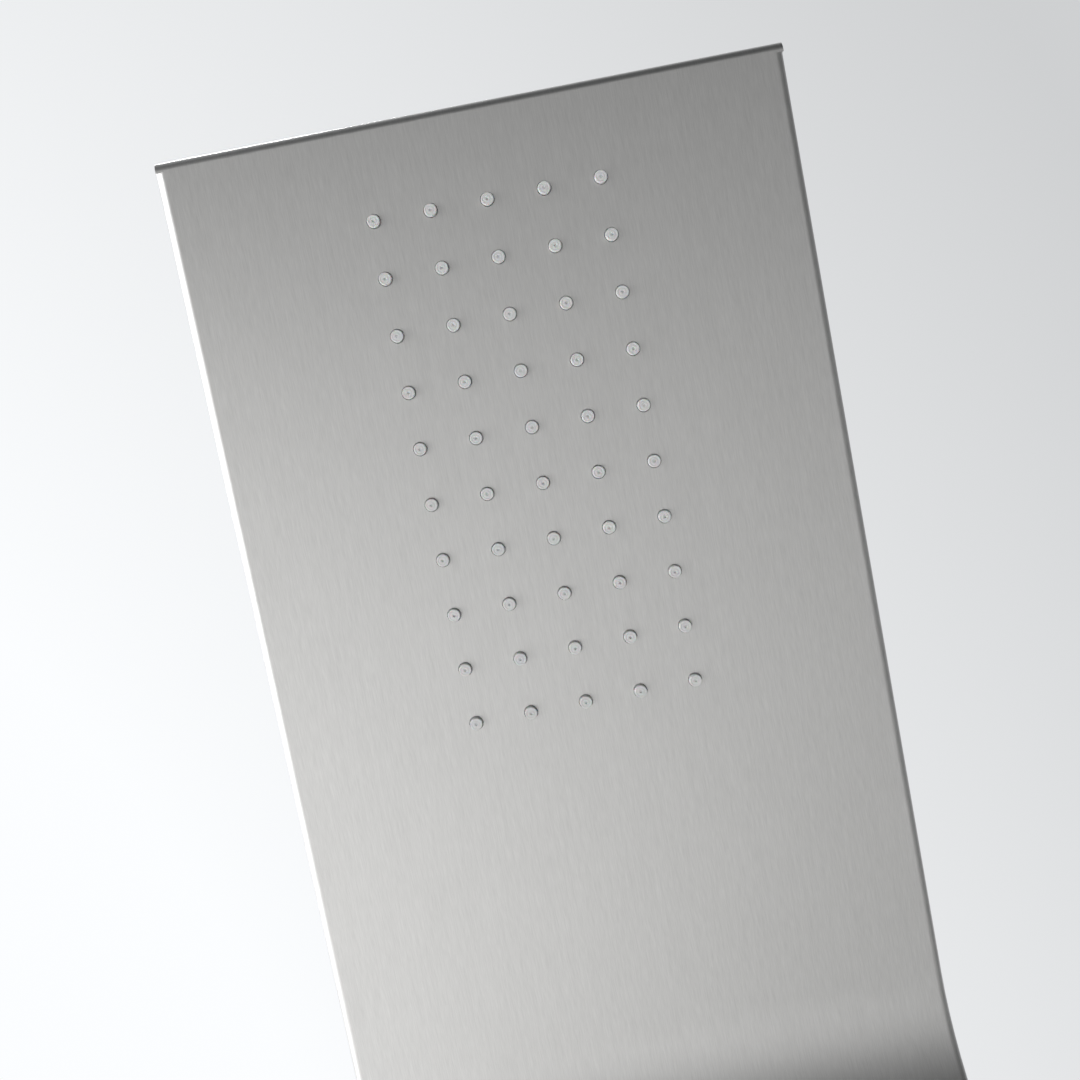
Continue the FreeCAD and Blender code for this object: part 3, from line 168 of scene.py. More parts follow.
@dataclass(frozen=True)
class HeadFrame:
    """The bent sheet's own measures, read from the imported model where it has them.

    Attributes:
        lean: How far the head leans from upright, in radians.
        length: From the end of the bend to the tip.
        depth: Depth of the head's folded sides.
        bend_radius: Radius of the front face in the bend.
        fold_radius: Radius that the sheet's folds turn on.
        tip_gap: Distance from the tip of the panel to the first row of nozzles.
        pitch: Distance between nozzles, both ways.
        columns: Nozzles in a row.
        rows: Rows of nozzles.
    """

    lean: float = math.radians(50.0)
    length: float = 340.0 * MM
    depth: float = 28.0 * MM
    bend_radius: float = 60.0 * MM
    fold_radius: float = 3.0 * MM
    tip_gap: float = 33.5 * MM
    pitch: float = 20.0 * MM
    columns: int = 5
    rows: int = 10

    @property
    def up(self) -> Vector:
        """Direction up the face, towards the tip."""
        return Vector((0, -math.sin(self.lean), math.cos(self.lean)))

    @property
    def tip(self) -> Vector:
        """Middle of the face's upper edge, where the sheet would end without its rounded fold."""
        low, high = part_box("front_panel")
        rounded_off = self.fold_radius * (math.sin(self.lean) + math.cos(self.lean) - 1)
        return Vector((0, low.y - rounded_off, high.z - self.depth * math.sin(self.lean)))

    @property
    def bend_centre(self) -> Vector:
        """Centre of the bend, in the panel's middle plane."""
        into = -Facing(self.tip, self.up).out
        return self.tip - self.up * self.length - into * self.bend_radius

    @property
    def field(self) -> Facing:
        """The frame in the middle of the nozzle field, on the face."""
        half = (self.rows - 1) / 2 * self.pitch
        return Facing(self.tip, self.up).moved(up=-self.tip_gap - half)


def front_at(node: str) -> Facing:
    """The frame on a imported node's outermost face, at its middle, facing the user."""
    low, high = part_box(node)
    return Facing(Vector(((low.x + high.x) / 2, low.y, (low.z + high.z) / 2)), Vector((0, 0, 1)))


def slot_of(node: str) -> Slot:
    """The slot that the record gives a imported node."""
    return next(Slot(part["material_slot"]) for part in frame["record"]["subparts"] if part["node"] == node)


# ---- meshes in few words

def placed(name: str, data: bpy.types.ID, material: bpy.types.Material | None = None) -> bpy.types.Object:
    """Puts an object in the scene.

    Args:
        name: The object's name.
        data: Its mesh, curve, camera or lamp; a mesh has its place in its points.
        material: Its only material, if it takes one.

    Returns:
        The object.
    """
    if material is not None:
        data.materials.clear()
        data.materials.append(material)
    made = bpy.data.objects.new(name, data)
    bpy.context.collection.objects.link(made)
    return made


def evaluated(source: bpy.types.Object) -> bpy.types.Mesh:
    """The plain mesh that an object's modifiers or curve make; the object is removed."""
    bpy.context.view_layer.update()
    depsgraph = bpy.context.evaluated_depsgraph_get()
    mesh = bpy.data.meshes.new_from_object(source.evaluated_get(depsgraph), depsgraph=depsgraph)
    bpy.data.objects.remove(source)
    return mesh


def shade(mesh: bpy.types.Mesh, sharp: float = math.radians(32.0)) -> bpy.types.Mesh:
    """Shades a mesh smooth up to an angle between faces."""
    mesh.shade_smooth()
    mesh.set_sharp_from_angle(angle=sharp)
    return mesh


def meshed(name: str, shape: bmesh.types.BMesh, outward: bool = True) -> bpy.types.Mesh:
    """Makes a mesh of a bmesh, which is freed.

    Args:
        name: The mesh's name.
        shape: The bmesh.
        outward: Whether its faces are first turned outward.

    Returns:
        The mesh.
    """
    if outward:
        bmesh.ops.recalc_face_normals(shape, faces=shape.faces)
    mesh = bpy.data.meshes.new(name)
    shape.to_mesh(mesh)
    shape.free()
    return mesh


def read(items: bpy.types.bpy_prop_collection, name: str, kind: type, width: int = 1) -> np.ndarray:
    """One attribute of every item of a mesh's collection, a row each where it has a width."""
    values = np.empty(len(items) * width, kind)
    items.foreach_get(name, values)
    return values if width == 1 else values.reshape(-1, width)


@dataclass(frozen=True)
class Ring:
    """One ring of a turned shape.

    Attributes:
        radius: Its radius, or half its width across the flats where it has sides.
        height: Its place along the axis.
        sides: Number of flat sides, or 0 for a circle.
        dip: How far it dips inwards at an angle, if it isn't even.
    """

    radius: float
    height: float
    sides: int = 0
    dip: Callable[[float], float] | None = None

    def corners(self, segments: int) -> list[tuple[float, float, float]]:
        """The ring's points."""
        made = []
        for step in range(segments):
            angle = 2 * math.pi * step / segments
            reach = self.radius - (self.dip(angle) if self.dip else 0.0)
            if self.sides:
                sector = 2 * math.pi / self.sides
                reach /= math.cos((angle + sector / 2) % sector - sector / 2)
            made.append((reach * math.cos(angle), reach * math.sin(angle), self.height))
        return made


def bridge(shape: bmesh.types.BMesh, loops: Sequence[Sequence[bmesh.types.BMVert]], steps: int) -> None:
    """Joins each ring of points to the next one with faces.

    Args:
        shape: The bmesh that holds them.
        loops: The rings in order, each of as many points as there are steps, or of one.
        steps: Steps round the axis.
    """
    for lower, upper in zip(loops, loops[1:]):
        for step in range(steps):
            onward = step + 1
            corners = [lower[step % len(lower)], lower[onward % len(lower)],
                       upper[onward % len(upper)], upper[step % len(upper)]]
            shape.faces.new(dict.fromkeys(corners))


def turned(name: str, rings: Sequence[Ring], segments: int, closed: bool = False) -> bpy.types.Mesh:
    """A solid of rings round the Z axis.

    Args:
        name: The mesh's name.
        rings: The rings in order; a radius of zero is a point on the axis.
        segments: Steps round the axis.
        closed: Whether the last ring joins the first, as in a tube.

    Returns:
        The mesh, with its faces outward.
    """
    shape = bmesh.new()
    loops = []
    for ring in rings:
        corners = ring.corners(segments) if ring.radius else [(0, 0, ring.height)]
        loops.append([shape.verts.new(corner) for corner in corners])
    if closed:
        loops.append(loops[0])
    bridge(shape, loops, segments)
    return shade(meshed(name, shape))


def rounded_plate(name: str, width: float, height: float, corner: float, thickness: float) -> bpy.types.Mesh:
    """A plate with rounded corners, its front on Z = 0 and its back below.

    Args:
        name: The mesh's name.
        width: Size across.
        height: Size up.
        corner: Radius of its corners.
        thickness: Its thickness.

    Returns:
        The mesh.
    """
    shape = bmesh.new()
    outline = []
    for quarter in range(4):
        turn = quarter * math.pi / 2
        across = math.copysign(width / 2 - corner, math.cos(turn + 0.1))
        up = math.copysign(height / 2 - corner, math.sin(turn + 0.1))
        for step in range(CORNER_STEPS + 1):
            angle = turn + step * math.pi / 2 / CORNER_STEPS
            outline.append((across + corner * math.cos(angle), up + corner * math.sin(angle)))
    front = shape.faces.new([shape.verts.new((x, y, 0)) for x, y in outline])
    grown = bmesh.ops.extrude_face_region(shape, geom=[front])["geom"]
    rear = [item for item in grown if isinstance(item, bmesh.types.BMVert)]
    bmesh.ops.translate(shape, verts=rear, vec=(0, 0, -thickness))
    return shade(meshed(name, shape))


def joined(name: str, meshes: Sequence[bpy.types.Mesh]) -> bpy.types.Mesh:
    """Several meshes as one; their own materials are dropped."""
    shape = bmesh.new()
    for mesh in meshes:
        shape.from_mesh(mesh)
    return shade(meshed(name, shape, outward=False))


def lettering(text: str, height: float) -> bpy.types.Mesh:
    """Printed figures round the origin, on Z = 0."""
    curve = bpy.data.curves.new("lettering", "FONT")
    curve.body = text
    curve.size = height
    curve.align_x = "CENTER"
    curve.align_y = "CENTER"
    curve.extrude = PRINT_THICKNESS
    return evaluated(placed("lettering", curve))


def merged(node: str, flat: float = math.radians(0.2)) -> bpy.types.Mesh:
    """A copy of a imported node's mesh with its loose triangles joined.

    Args:
        node: The node.
        flat: Angle between faces under which they become one flat face.

    Returns:
        The copy.
    """
    shape = bmesh.new()
    shape.from_mesh(frame["nodes"][node].data)
    bmesh.ops.remove_doubles(shape, verts=shape.verts, dist=0.001 * MM)
    bmesh.ops.dissolve_degenerate(shape, edges=shape.edges, dist=0.02 * MM)
    bmesh.ops.dissolve_limit(
        shape, angle_limit=flat, use_dissolve_boundaries=False, verts=shape.verts, edges=shape.edges
    )
    return meshed(node + "_skin", shape, outward=False)


# ---- node trees in few words

class NodeTree:
    """A node tree, with one short call for each node."""

    def __init__(self, tree: bpy.types.NodeTree) -> None:
        """Starts with an empty tree."""
        self.tree = tree
        self.tree.nodes.clear()

    def give(self, socket: Socket, value: object) -> None:
        """Links a socket to the one given, or sets its value; a colour may come without its alpha."""
        if isinstance(value, bpy.types.NodeSocket):
            self.tree.links.new(value, socket)
        elif socket.type == "RGBA":
            socket.default_value = (*value, 1.0)[:4]
        else:
            socket.default_value = value

    def node(self, kind: str, inputs: Sequence[tuple[int | str, object]] = (),
             **settings: object) -> bpy.types.Node:
        """Adds a node.

        Args:
            kind: Blender's name of the node type.
            inputs: Pairs of an input and the value or socket that goes into it.
            **settings: Properties of the node.

        Returns:
            The node.
        """
        made = self.tree.nodes.new(kind)
        for key, value in settings.items():
            setattr(made, key, value)
        for key, value in inputs:
            self.give(made.inputs[key], value)
        return made

    def math(self, operation: str, *values: object) -> Socket:
        """A Math node's result."""
        return self.node("ShaderNodeMath", list(enumerate(values)), operation=operation).outputs[0]


class Pattern(NodeTree):
    """A Geometry Nodes tree that sets copies of a mesh out on a grid, each turned a little at random."""

    def __init__(self) -> None:
        """Builds the tree with its named inputs."""
        super().__init__(bpy.data.node_groups.new("pattern", "GeometryNodeTree"))
        self.inputs: dict[str, str] = {}
        for name, kind in (
            ("Geometry", "NodeSocketGeometry"), ("Columns", "NodeSocketInt"), ("Rows", "NodeSocketInt"),
            ("Pitch Across", "NodeSocketFloat"), ("Pitch Up", "NodeSocketFloat"),
            ("Turn", "NodeSocketVector"), ("Seed", "NodeSocketInt"), ("Material", "NodeSocketMaterial"),
        ):
            socket = self.tree.interface.new_socket(name, in_out="INPUT", socket_type=kind)
            self.inputs[name] = socket.identifier
        self.tree.interface.new_socket("Geometry", in_out="OUTPUT", socket_type="NodeSocketGeometry")
        self.wire(self.node("NodeGroupInput").outputs)

    def extent(self, count: Socket, pitch: Socket) -> Socket:
        """The length of a row of a number of points at a pitch."""
        return self.math("MULTIPLY", self.math("SUBTRACT", count, 1.0), pitch)

    def wire(self, given: bpy.types.NodeOutputs) -> None:
        """Joins grid, instances, real meshes and material.

        Args:
            given: The tree's inputs.
        """
        grid = self.node("GeometryNodeMeshGrid", [
            ("Size X", self.extent(given["Columns"], given["Pitch Across"])),
            ("Size Y", self.extent(given["Rows"], given["Pitch Up"])),
            ("Vertices X", given["Columns"]), ("Vertices Y", given["Rows"]),
        ])
        turn = self.node("FunctionNodeRandomValue", [
            (0, (0, 0, 0)), (1, given["Turn"]), ("Seed", given["Seed"])
        ], data_type="FLOAT_VECTOR")
        copies = self.node("GeometryNodeInstanceOnPoints", [
            ("Points", grid.outputs["Mesh"]), ("Instance", given["Geometry"]), ("Rotation", turn.outputs[0])
        ])
        real = self.node("GeometryNodeRealizeInstances", [("Geometry", copies.outputs["Instances"])])
        dressed = self.node("GeometryNodeSetMaterial", [
            ("Geometry", real.outputs[0]), ("Material", given["Material"])
        ])
        self.node("NodeGroupOutput", [("Geometry", dressed.outputs[0])])

    def set_out(self, unit: bpy.types.Mesh, count: tuple[int, int], pitch: tuple[float, float],
                material: bpy.types.Material, seed: int = 1) -> bpy.types.Mesh:
        """Repeats a mesh on a grid round the origin.

        Args:
            unit: The mesh to repeat.
            count: Columns and rows.
            pitch: Distances across and up.
            material: Their material.
            seed: Seed of their random turns.

        Returns:
            One plain mesh of all copies.
        """
        carrier = placed(unit.name + "_pattern", unit)
        modifier = carrier.modifiers.new("pattern", "NODES")
        modifier.node_group = self.tree
        values = {
            "Columns": count[0], "Rows": count[1], "Pitch Across": pitch[0], "Pitch Up": pitch[1],
            "Turn": (0.0, 0.0, 2 * math.pi), "Seed": seed, "Material": material,
        }
        for name, value in values.items():
            modifier[self.inputs[name]] = value
        return evaluated(carrier)


class ShaderTree(NodeTree):
    """A material's node tree."""

    def __init__(self, name: str) -> None:
        """Starts a material of a name."""
        self.material = bpy.data.materials.new(name)
        self.material.use_nodes = True
        super().__init__(self.material.node_tree)
        self.shader = self.node("ShaderNodeBsdfPrincipled")
        self.out = self.node("ShaderNodeOutputMaterial", [("Surface", self.shader.outputs[0])])
        self.object = self.node("ShaderNodeTexCoord").outputs["Object"]

    def scaled(self, scale: Sequence[float], source: Socket | None = None) -> Socket:
        """Object coordinates, or another vector, stretched along each axis."""
        inputs = [(0, source or self.object), (1, tuple(scale))]
        return self.node("ShaderNodeVectorMath", inputs, operation="MULTIPLY").outputs[0]

    def noise(self, vector: Socket, scale: float, detail: float = 2.0, rough: float = 0.5) -> Socket:
        """A noise texture's value."""
        inputs = [("Vector", vector), ("Scale", scale), ("Detail", detail), ("Roughness", rough)]
        return self.node("ShaderNodeTexNoise", inputs).outputs[0]

    def span(self, value: Socket, low: float, high: float, start: float = 0.0, end: float = 1.0) -> Socket:
        """Maps a value from start..end to low..high, clamped."""
        inputs = [(0, value), (1, start), (2, end), (3, low), (4, high)]
        return self.node("ShaderNodeMapRange", inputs, clamp=True).outputs[0]

    def sway(self, noise: Socket, mean: float, by: float) -> Socket:
        """A value that a noise moves to both sides of a mean."""
        return self.span(noise, mean - by, mean + by, *USUAL_NOISE)

    def blend(self, factor: object, first: object, second: object, mode: str = "MIX") -> Socket:
        """Mixes two colours."""
        inputs = [(0, factor), (6, first), (7, second)]
        return self.node("ShaderNodeMix", inputs, data_type="RGBA", blend_type=mode).outputs[2]

    def bump(self, height: Socket, strength: float, distance: float) -> Socket:
        """A bump's normal."""
        inputs = [("Height", height), ("Strength", strength), ("Distance", distance)]
        return self.node("ShaderNodeBump", inputs).outputs[0]

    def feed(self, **values: object) -> None:
        """Sets or links the shader's inputs, named with _ for spaces."""
        for key, value in values.items():
            self.give(self.shader.inputs[key.replace("_", " ")], value)

    def pale_in_view(self, paleness: float, share: float) -> None:
        """Mixes an even paleness in that only the camera sees, and that lights nothing.

        Args:
            paleness: Its brightness.
            share: How much of what the camera sees it makes up.
        """
        even = self.node("ShaderNodeEmission", [("Color", (paleness, paleness, paleness))])
        seen = self.node("ShaderNodeLightPath").outputs["Is Camera Ray"]
        mixed = self.node("ShaderNodeMixShader", [
            (0, self.math("MULTIPLY", seen, share)), (1, self.shader.outputs[0]), (2, even.outputs[0])
        ])
        self.tree.links.new(mixed.outputs[0], self.out.inputs["Surface"])


# ---- finishes

@dataclass(frozen=True)
class Finish:
    """What every finish has.

    Attributes:
        name: The slot that it fills.
        colour: Its main colour.
        second: Colour of its patches or specks.
        roughness: Mean roughness.
    """

    name: Slot
    colour: Colour
    second: Colour
    roughness: float

    def feed(self, tree: ShaderTree) -> None:
        """Feeds the shader, which each kind of finish does in its own way."""
        raise NotImplementedError

    def build(self) -> bpy.types.Material:
        """Makes the material.

        Returns:
            The finished material.
        """
        tree = ShaderTree(self.name.value)
        self.feed(tree)
        return tree.material


@dataclass(frozen=True)
class BrushedSteel(Finish):
    """Stainless sheet, brushed along its length through the bend, on the sheet's own map.

    Attributes:
        streak: Share by which single lines are lighter or darker.
        anisotropy: How far the brushing draws reflections out across the panel.
        depth: Depth of the brushing lines.
        fine: Width and length of the finest lines.
        broad: Width and length of the broader bands.
        clouds: Noise scale of the duller patches.
        speck_cell: Size of the cells, some of which hold a dark speck.
        speck_radius: Radius of a speck.
        speckless: Share of the cells that hold none.
    """

    name: Slot = Slot.BRUSHED
    colour: Colour = (0.70, 0.695, 0.685)
    second: Colour = (0.2, 0.19, 0.18)
    roughness: float = 0.36
    streak: float = 0.055
    anisotropy: float = 0.6
    depth: float = 0.012 * MM
    fine: tuple[float, float] = (0.38 * MM, 6 * MM)
    broad: tuple[float, float] = (1.5 * MM, 32 * MM)
    clouds: float = 7.0
    speck_cell: float = 26 * MM
    speck_radius: float = 0.22 * MM
    speckless: float = 0.6

    def lines(self, tree: ShaderTree, sheet: Socket, size: tuple[float, float]) -> Socket:
        """Lines of a mean width and length along the sheet."""
        return tree.noise(tree.scaled((1 / size[0], 1 / size[1], 1), sheet), 1.0, detail=3.0, rough=0.6)

    def specks(self, tree: ShaderTree, sheet: Socket) -> Socket:
        """A few tiny dark specks, as a factor from 0 to 1."""
        cells = tree.node("ShaderNodeTexVoronoi", [("Vector", sheet), ("Scale", 1 / self.speck_cell)])
        near = self.speck_radius / self.speck_cell
        spot = tree.span(cells.outputs["Distance"], 1.0, 0.0, near * 0.7, near)
        chance = tree.node("ShaderNodeSeparateColor", [(0, cells.outputs["Color"])]).outputs[0]
        return tree.math("MULTIPLY", spot, tree.math("GREATER_THAN", chance, self.speckless))

    def feed(self, tree: ShaderTree) -> None:
        """Lays lines, bands, cloudiness and specks on the sheet's map."""
        sheet = tree.node("ShaderNodeUVMap", uv_map=SHEET_MAP).outputs[0]
        fine = self.lines(tree, sheet, self.fine)
        broad = self.lines(tree, sheet, self.broad)
        cloud = tree.noise(tree.object, self.clouds)
        bands = tree.sway(broad, 0.0, self.streak * 0.5)
        shade_of = tree.math("ADD", tree.sway(fine, 1.0, self.streak), bands)
        grey = tree.node("ShaderNodeCombineColor", [(index, shade_of) for index in range(3)]).outputs[0]
        colour = tree.blend(1.0, self.colour, grey, "MULTIPLY")
        colour = tree.blend(self.specks(tree, sheet), colour, self.second)
        rough = tree.math("ADD", tree.sway(fine, 0.0, 0.04), tree.sway(cloud, self.roughness, 0.02))
        tangent = tree.node("ShaderNodeTangent", direction_type="UV_MAP", uv_map=SHEET_MAP).outputs[0]
        tree.feed(
            Base_Color=colour, Metallic=1.0, Roughness=rough, Anisotropic=self.anisotropy,
            Tangent=tangent, Normal=tree.bump(fine, 0.3, self.depth),
        )


@dataclass(frozen=True)
class Metal(Finish):
    """A plain metal finish with fine scratches and duller patches.

    Attributes:
        scratch: Depth of the finest marks.
        grain: Noise scale of the patches.
        marks: Noise scale of the finest marks, along each axis.
    """

    scratch: float = 0.01 * MM
    grain: float = 40.0
    marks: tuple[float, float, float] = (900.0, 900.0, 160.0)

    def feed(self, tree: ShaderTree) -> None:
        """Lays the patches and the finest marks."""
        patches = tree.noise(tree.object, self.grain, detail=4.0, rough=0.6)
        marks = tree.noise(tree.scaled(self.marks), 1.0, detail=3.0)
        colour = tree.blend(tree.span(patches, 0.0, 1.0, 0.35, 0.7), self.colour, self.second)
        dulled = tree.span(patches, -0.04, 0.05, *USUAL_NOISE)
        rough = tree.math("ADD", dulled, tree.sway(marks, self.roughness, 0.03))
        tree.feed(Base_Color=colour, Metallic=1.0, Roughness=rough, Normal=tree.bump(marks, 0.25, self.scratch))


@dataclass(frozen=True)
class Moulded(Finish):
    """A moulded plastic or silicone with lighter patches.

    Attributes:
        subsurface: Share of light that spreads under the skin.
        grain: Depth of the mould's fine grain.
        patches: Noise scale of the patches.
        pores: Noise scale of the grain.
    """

    subsurface: float = 0.0
    grain: float = 0.01 * MM
    patches: float = 120.0
    pores: float = 2600.0

    def feed(self, tree: ShaderTree) -> None:
        """Lays the patches and the grain."""
        patches = tree.noise(tree.object, self.patches, detail=3.0)
        pores = tree.noise(tree.object, self.pores)
        colour = tree.blend(tree.span(patches, 0.0, 1.0, 0.35, 0.65), self.colour, self.second)
        tree.feed(
            Base_Color=colour, Roughness=tree.sway(patches, self.roughness, 0.05),
            Subsurface_Weight=self.subsurface, Subsurface_Scale=1.0 * MM,
            Normal=tree.bump(pores, 0.3, self.grain),
        )


@dataclass(frozen=True)
class Finishes:
    """Every finish of the panel, built once.

    Attributes:
        each: The finishes, one for each slot.
    """

    each: tuple[Finish, ...] = (
        BrushedSteel(),
        Metal(Slot.STAINLESS, (0.55, 0.55, 0.54), (0.47, 0.47, 0.46), 0.3),
        Metal(Slot.STEEL, (0.52, 0.52, 0.53), (0.42, 0.43, 0.42), 0.24),
        Metal(Slot.BRASS, (0.72, 0.53, 0.27), (0.56, 0.38, 0.17), 0.36, scratch=0.03 * MM),
        Metal(Slot.CHROME, (0.77, 0.78, 0.79), (0.72, 0.73, 0.75), 0.09, scratch=0.002 * MM, grain=12.0),
        Moulded(Slot.SILICONE, (0.87, 0.88, 0.88), (0.90, 0.905, 0.90), 0.38, subsurface=0.15),
        Moulded(Slot.JETS, (0.62, 0.62, 0.62), (0.68, 0.68, 0.68), 0.42, subsurface=0.2),
        Moulded(Slot.BLACK, (0.03, 0.03, 0.032), (0.05, 0.05, 0.052), 0.45),
        Moulded(Slot.RED, (0.55, 0.03, 0.025), (0.62, 0.05, 0.04), 0.3),
    )

    def build(self) -> Finished:
        """Makes every material.

        Returns:
            The materials by slot.
        """
        return {finish.name: finish.build() for finish in self.each}


# ---- the construction model's own nodes

@dataclass
class PackedNodes:
    """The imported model's nodes, each of which takes the finish of its slot."""

    materials: Finished

    def dress(self) -> None:
        """Gives every node its material."""
        for part in frame["record"]["subparts"]:
            piece = frame["nodes"][part["node"]]
            piece.data.materials.clear()
            piece.data.materials.append(self.materials[Slot(part["material_slot"])])
            LOG.info("dressed %s in %s", part["node"], part["material_slot"])


def add_piece(name: str, mesh: bpy.types.Mesh, node: str, materials: Finished, slot: Slot | None = None,
              hides: bool = True) -> bpy.types.Object:
    """Puts a new piece in the scene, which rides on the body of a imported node.

    Args:
        name: The piece's name.
        mesh: Its mesh, with its place in its points.
        node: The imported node.
        materials: The finishes.
        slot: The piece's slot, if it isn't the node's.
        hides: Whether the piece stands for the node, which then isn't shown.

    Returns:
        The piece.
    """
    slot = slot or slot_of(node)
    piece = placed(name, mesh, materials[slot])
    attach(piece, frame["nodes"][node]["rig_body"])
    if hides:
        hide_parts(node)
    LOG.info("built %s with %d faces", piece.name, len(piece.data.polygons))
    return piece


@dataclass
class Skin:
    """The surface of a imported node: its own shape, with its flat faces joined and its curved ones smooth.

    Attributes:
        materials: The finishes.
        sharp: Angle between faces above which an edge is a hard one.
    """

    materials: Finished
    sharp: float = math.radians(30.0)

    def refine(self, carrier: bpy.types.Object) -> None:
        """Refines the shape, which each kind of skin does in its own way."""
        raise NotImplementedError

    def build(self, node: str) -> None:
        """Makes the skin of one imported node.

        Args:
            node: The node, which the skin stands for.
        """
        carrier = placed(node + "_carrier", shade(merged(node), self.sharp))
        self.refine(carrier)
        normals = carrier.modifiers.new("normals", "WEIGHTED_NORMAL")
        normals.keep_sharp = True
        add_piece(node + "_skin", evaluated(carrier), node, self.materials)


@dataclass
class SheetSkin(Skin):
    """The skin of a brushed sheet, with the brushing's map.

    Attributes:
        head: The bent sheet's measures.
    """

    head: HeadFrame = field(default_factory=HeadFrame)

    def along(self, points: np.ndarray) -> tuple[np.ndarray, np.ndarray]:
        """Where points lie along the bent face and how deep behind it.

        Args:
            points: Points in the model's frame, one a row.

        Returns:
            The distances along the face from the start of the bend, and the depths.
        """
        centre = self.head.bend_centre
        up = np.array(self.head.up)[1:]
        into = np.array((-up[1], up[0])) * -1
        across = points[:, 1:] - np.array(centre)[1:]
        angle = np.arctan2(across[:, 1], across[:, 0])
        radius = self.head.bend_radius
        on_head = across @ up > 0
        on_column = across[:, 1] < 0
        run = np.where(on_head, radius * self.head.lean + across @ up, radius * angle)
        run = np.where(on_column, across[:, 1], run)
        depth = np.where(on_head, across @ into, np.linalg.norm(across, axis=1))
        depth = np.where(on_column, across[:, 0], depth) - radius
        return run, depth

    def refine(self, carrier: bpy.types.Object) -> None:
        """Writes the map: across the sheet and round its side folds, and along it and over its end folds."""
        mesh = carrier.data
        points = read(mesh.vertices, "co", np.float32, 3)[read(mesh.loops, "vertex_index", np.int32)]
        corners = read(mesh.polygons, "loop_total", np.int32)
        normals = np.repeat(read(mesh.polygons, "normal", np.float32, 3), corners, axis=0)
        run, depth = self.along(points)
        sideways = normals[:, 0] ** 2
        endways = (normals @ np.array(self.head.up)) ** 2 * (run > self.head.length * 0.5)
        across = points[:, 0] + np.sign(points[:, 0]) * depth * sideways
        layout = np.stack([across, run + depth * endways], axis=1).astype(np.float32)
        layer = mesh.uv_layers.new(name=SHEET_MAP)
        layer.uv.foreach_set("vector", layout.ravel())


@dataclass
class RoundedSkin(Skin):
    """The skin of a turned or machined piece, with its hard edges a little rounded.

    Attributes:
        edge: Width of the rounded edges.
    """

    edge: float = 0.25 * MM

    def refine(self, carrier: bpy.types.Object) -> None:
        """Rounds the hard edges."""
        bevel = carrier.modifiers.new("edges", "BEVEL")
        bevel.width = self.edge
        bevel.segments = 2
        bevel.limit_method = "ANGLE"
        bevel.angle_limit = self.sharp


# ---- silicone nozzles

@dataclass(frozen=True)
class Nozzle:
    """One silicone nozzle: a stem with a soft rim, a shallow ring on its tip and a fine hole.

    Attributes:
        radius: Its radius where it leaves the sheet.
        out: How far it stands out of the face.
        back: How far it reaches behind the face, to its mat.
        bore: Radius of its hole.
        recess: Depth of the hole that shows.
        segments: Steps round it.
    """

    radius: float
    out: float
    back: float
    bore: float
    recess: float = 0.6 * MM
    segments: int = 20

    def mesh(self, name: str) -> bpy.types.Mesh:
        """The nozzle, standing on Z with the face at Z = 0.

        Args:
            name: The mesh's name.

        Returns:
            The mesh.
        """
        tip = self.radius * 0.965
        soft = self.radius * 0.09
        plate = self.out - soft * 0.15
        groove = plate - self.radius * 0.01
        rings = [
            Ring(0, self.out - self.recess), Ring(self.bore * 0.8, self.out - self.recess),
            Ring(self.bore * 0.85, self.out - soft * 0.3), Ring(self.bore, plate), Ring(tip * 0.56, plate),
            Ring(tip * 0.6, groove), Ring(tip * 0.66, groove), Ring(tip * 0.7, self.out - soft * 0.1),
            Ring(tip - soft, self.out), Ring(tip - soft * 0.3, self.out - soft * 0.3),
            Ring(tip, self.out - soft), Ring(self.radius, 0), Ring(self.radius, -self.back),
            Ring(0, -self.back),
        ]
        return turned(name, rings, self.segments)


@dataclass
class NozzleField:
    """A mat behind a face with a grid of nozzles through it.

    Attributes:
        node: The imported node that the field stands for.
        facing: The frame in the middle of the grid, on the face.
        nozzle: One of its nozzles.
        count: Columns and rows.
        pitch: Distances across and up.
        corner: Radius of the mat's corners.
        seed: Seed of the nozzles' turns.
    """

    node: str
    facing: Facing
    nozzle: Nozzle
    count: tuple[int, int]
    pitch: tuple[float, float]
    corner: float
    seed: int

    def build(self, pattern: Pattern, materials: Finished) -> None:
        """Makes mat and nozzles as one silicone piece.

        Args:
            pattern: The tree that repeats the nozzle.
            materials: The finishes.
        """
        low, high = self.facing.box(self.node)
        thickness = -self.nozzle.back - low.z
        mat = rounded_plate(self.node + "_mat", high.x - low.x, high.y - low.y, self.corner, thickness)
        mat.transform(Matrix.Translation(((low.x + high.x) / 2, (low.y + high.y) / 2, -self.nozzle.back)))
        unit = self.nozzle.mesh(self.node + "_unit")
        stems = pattern.set_out(unit, self.count, self.pitch, materials[slot_of(self.node)], self.seed)
        name = self.node + "_moulded"
        whole = joined(name, [mat, stems])
        whole.transform(self.facing.matrix)
        add_piece(name, whole, self.node, materials)


# ---- small metal pieces

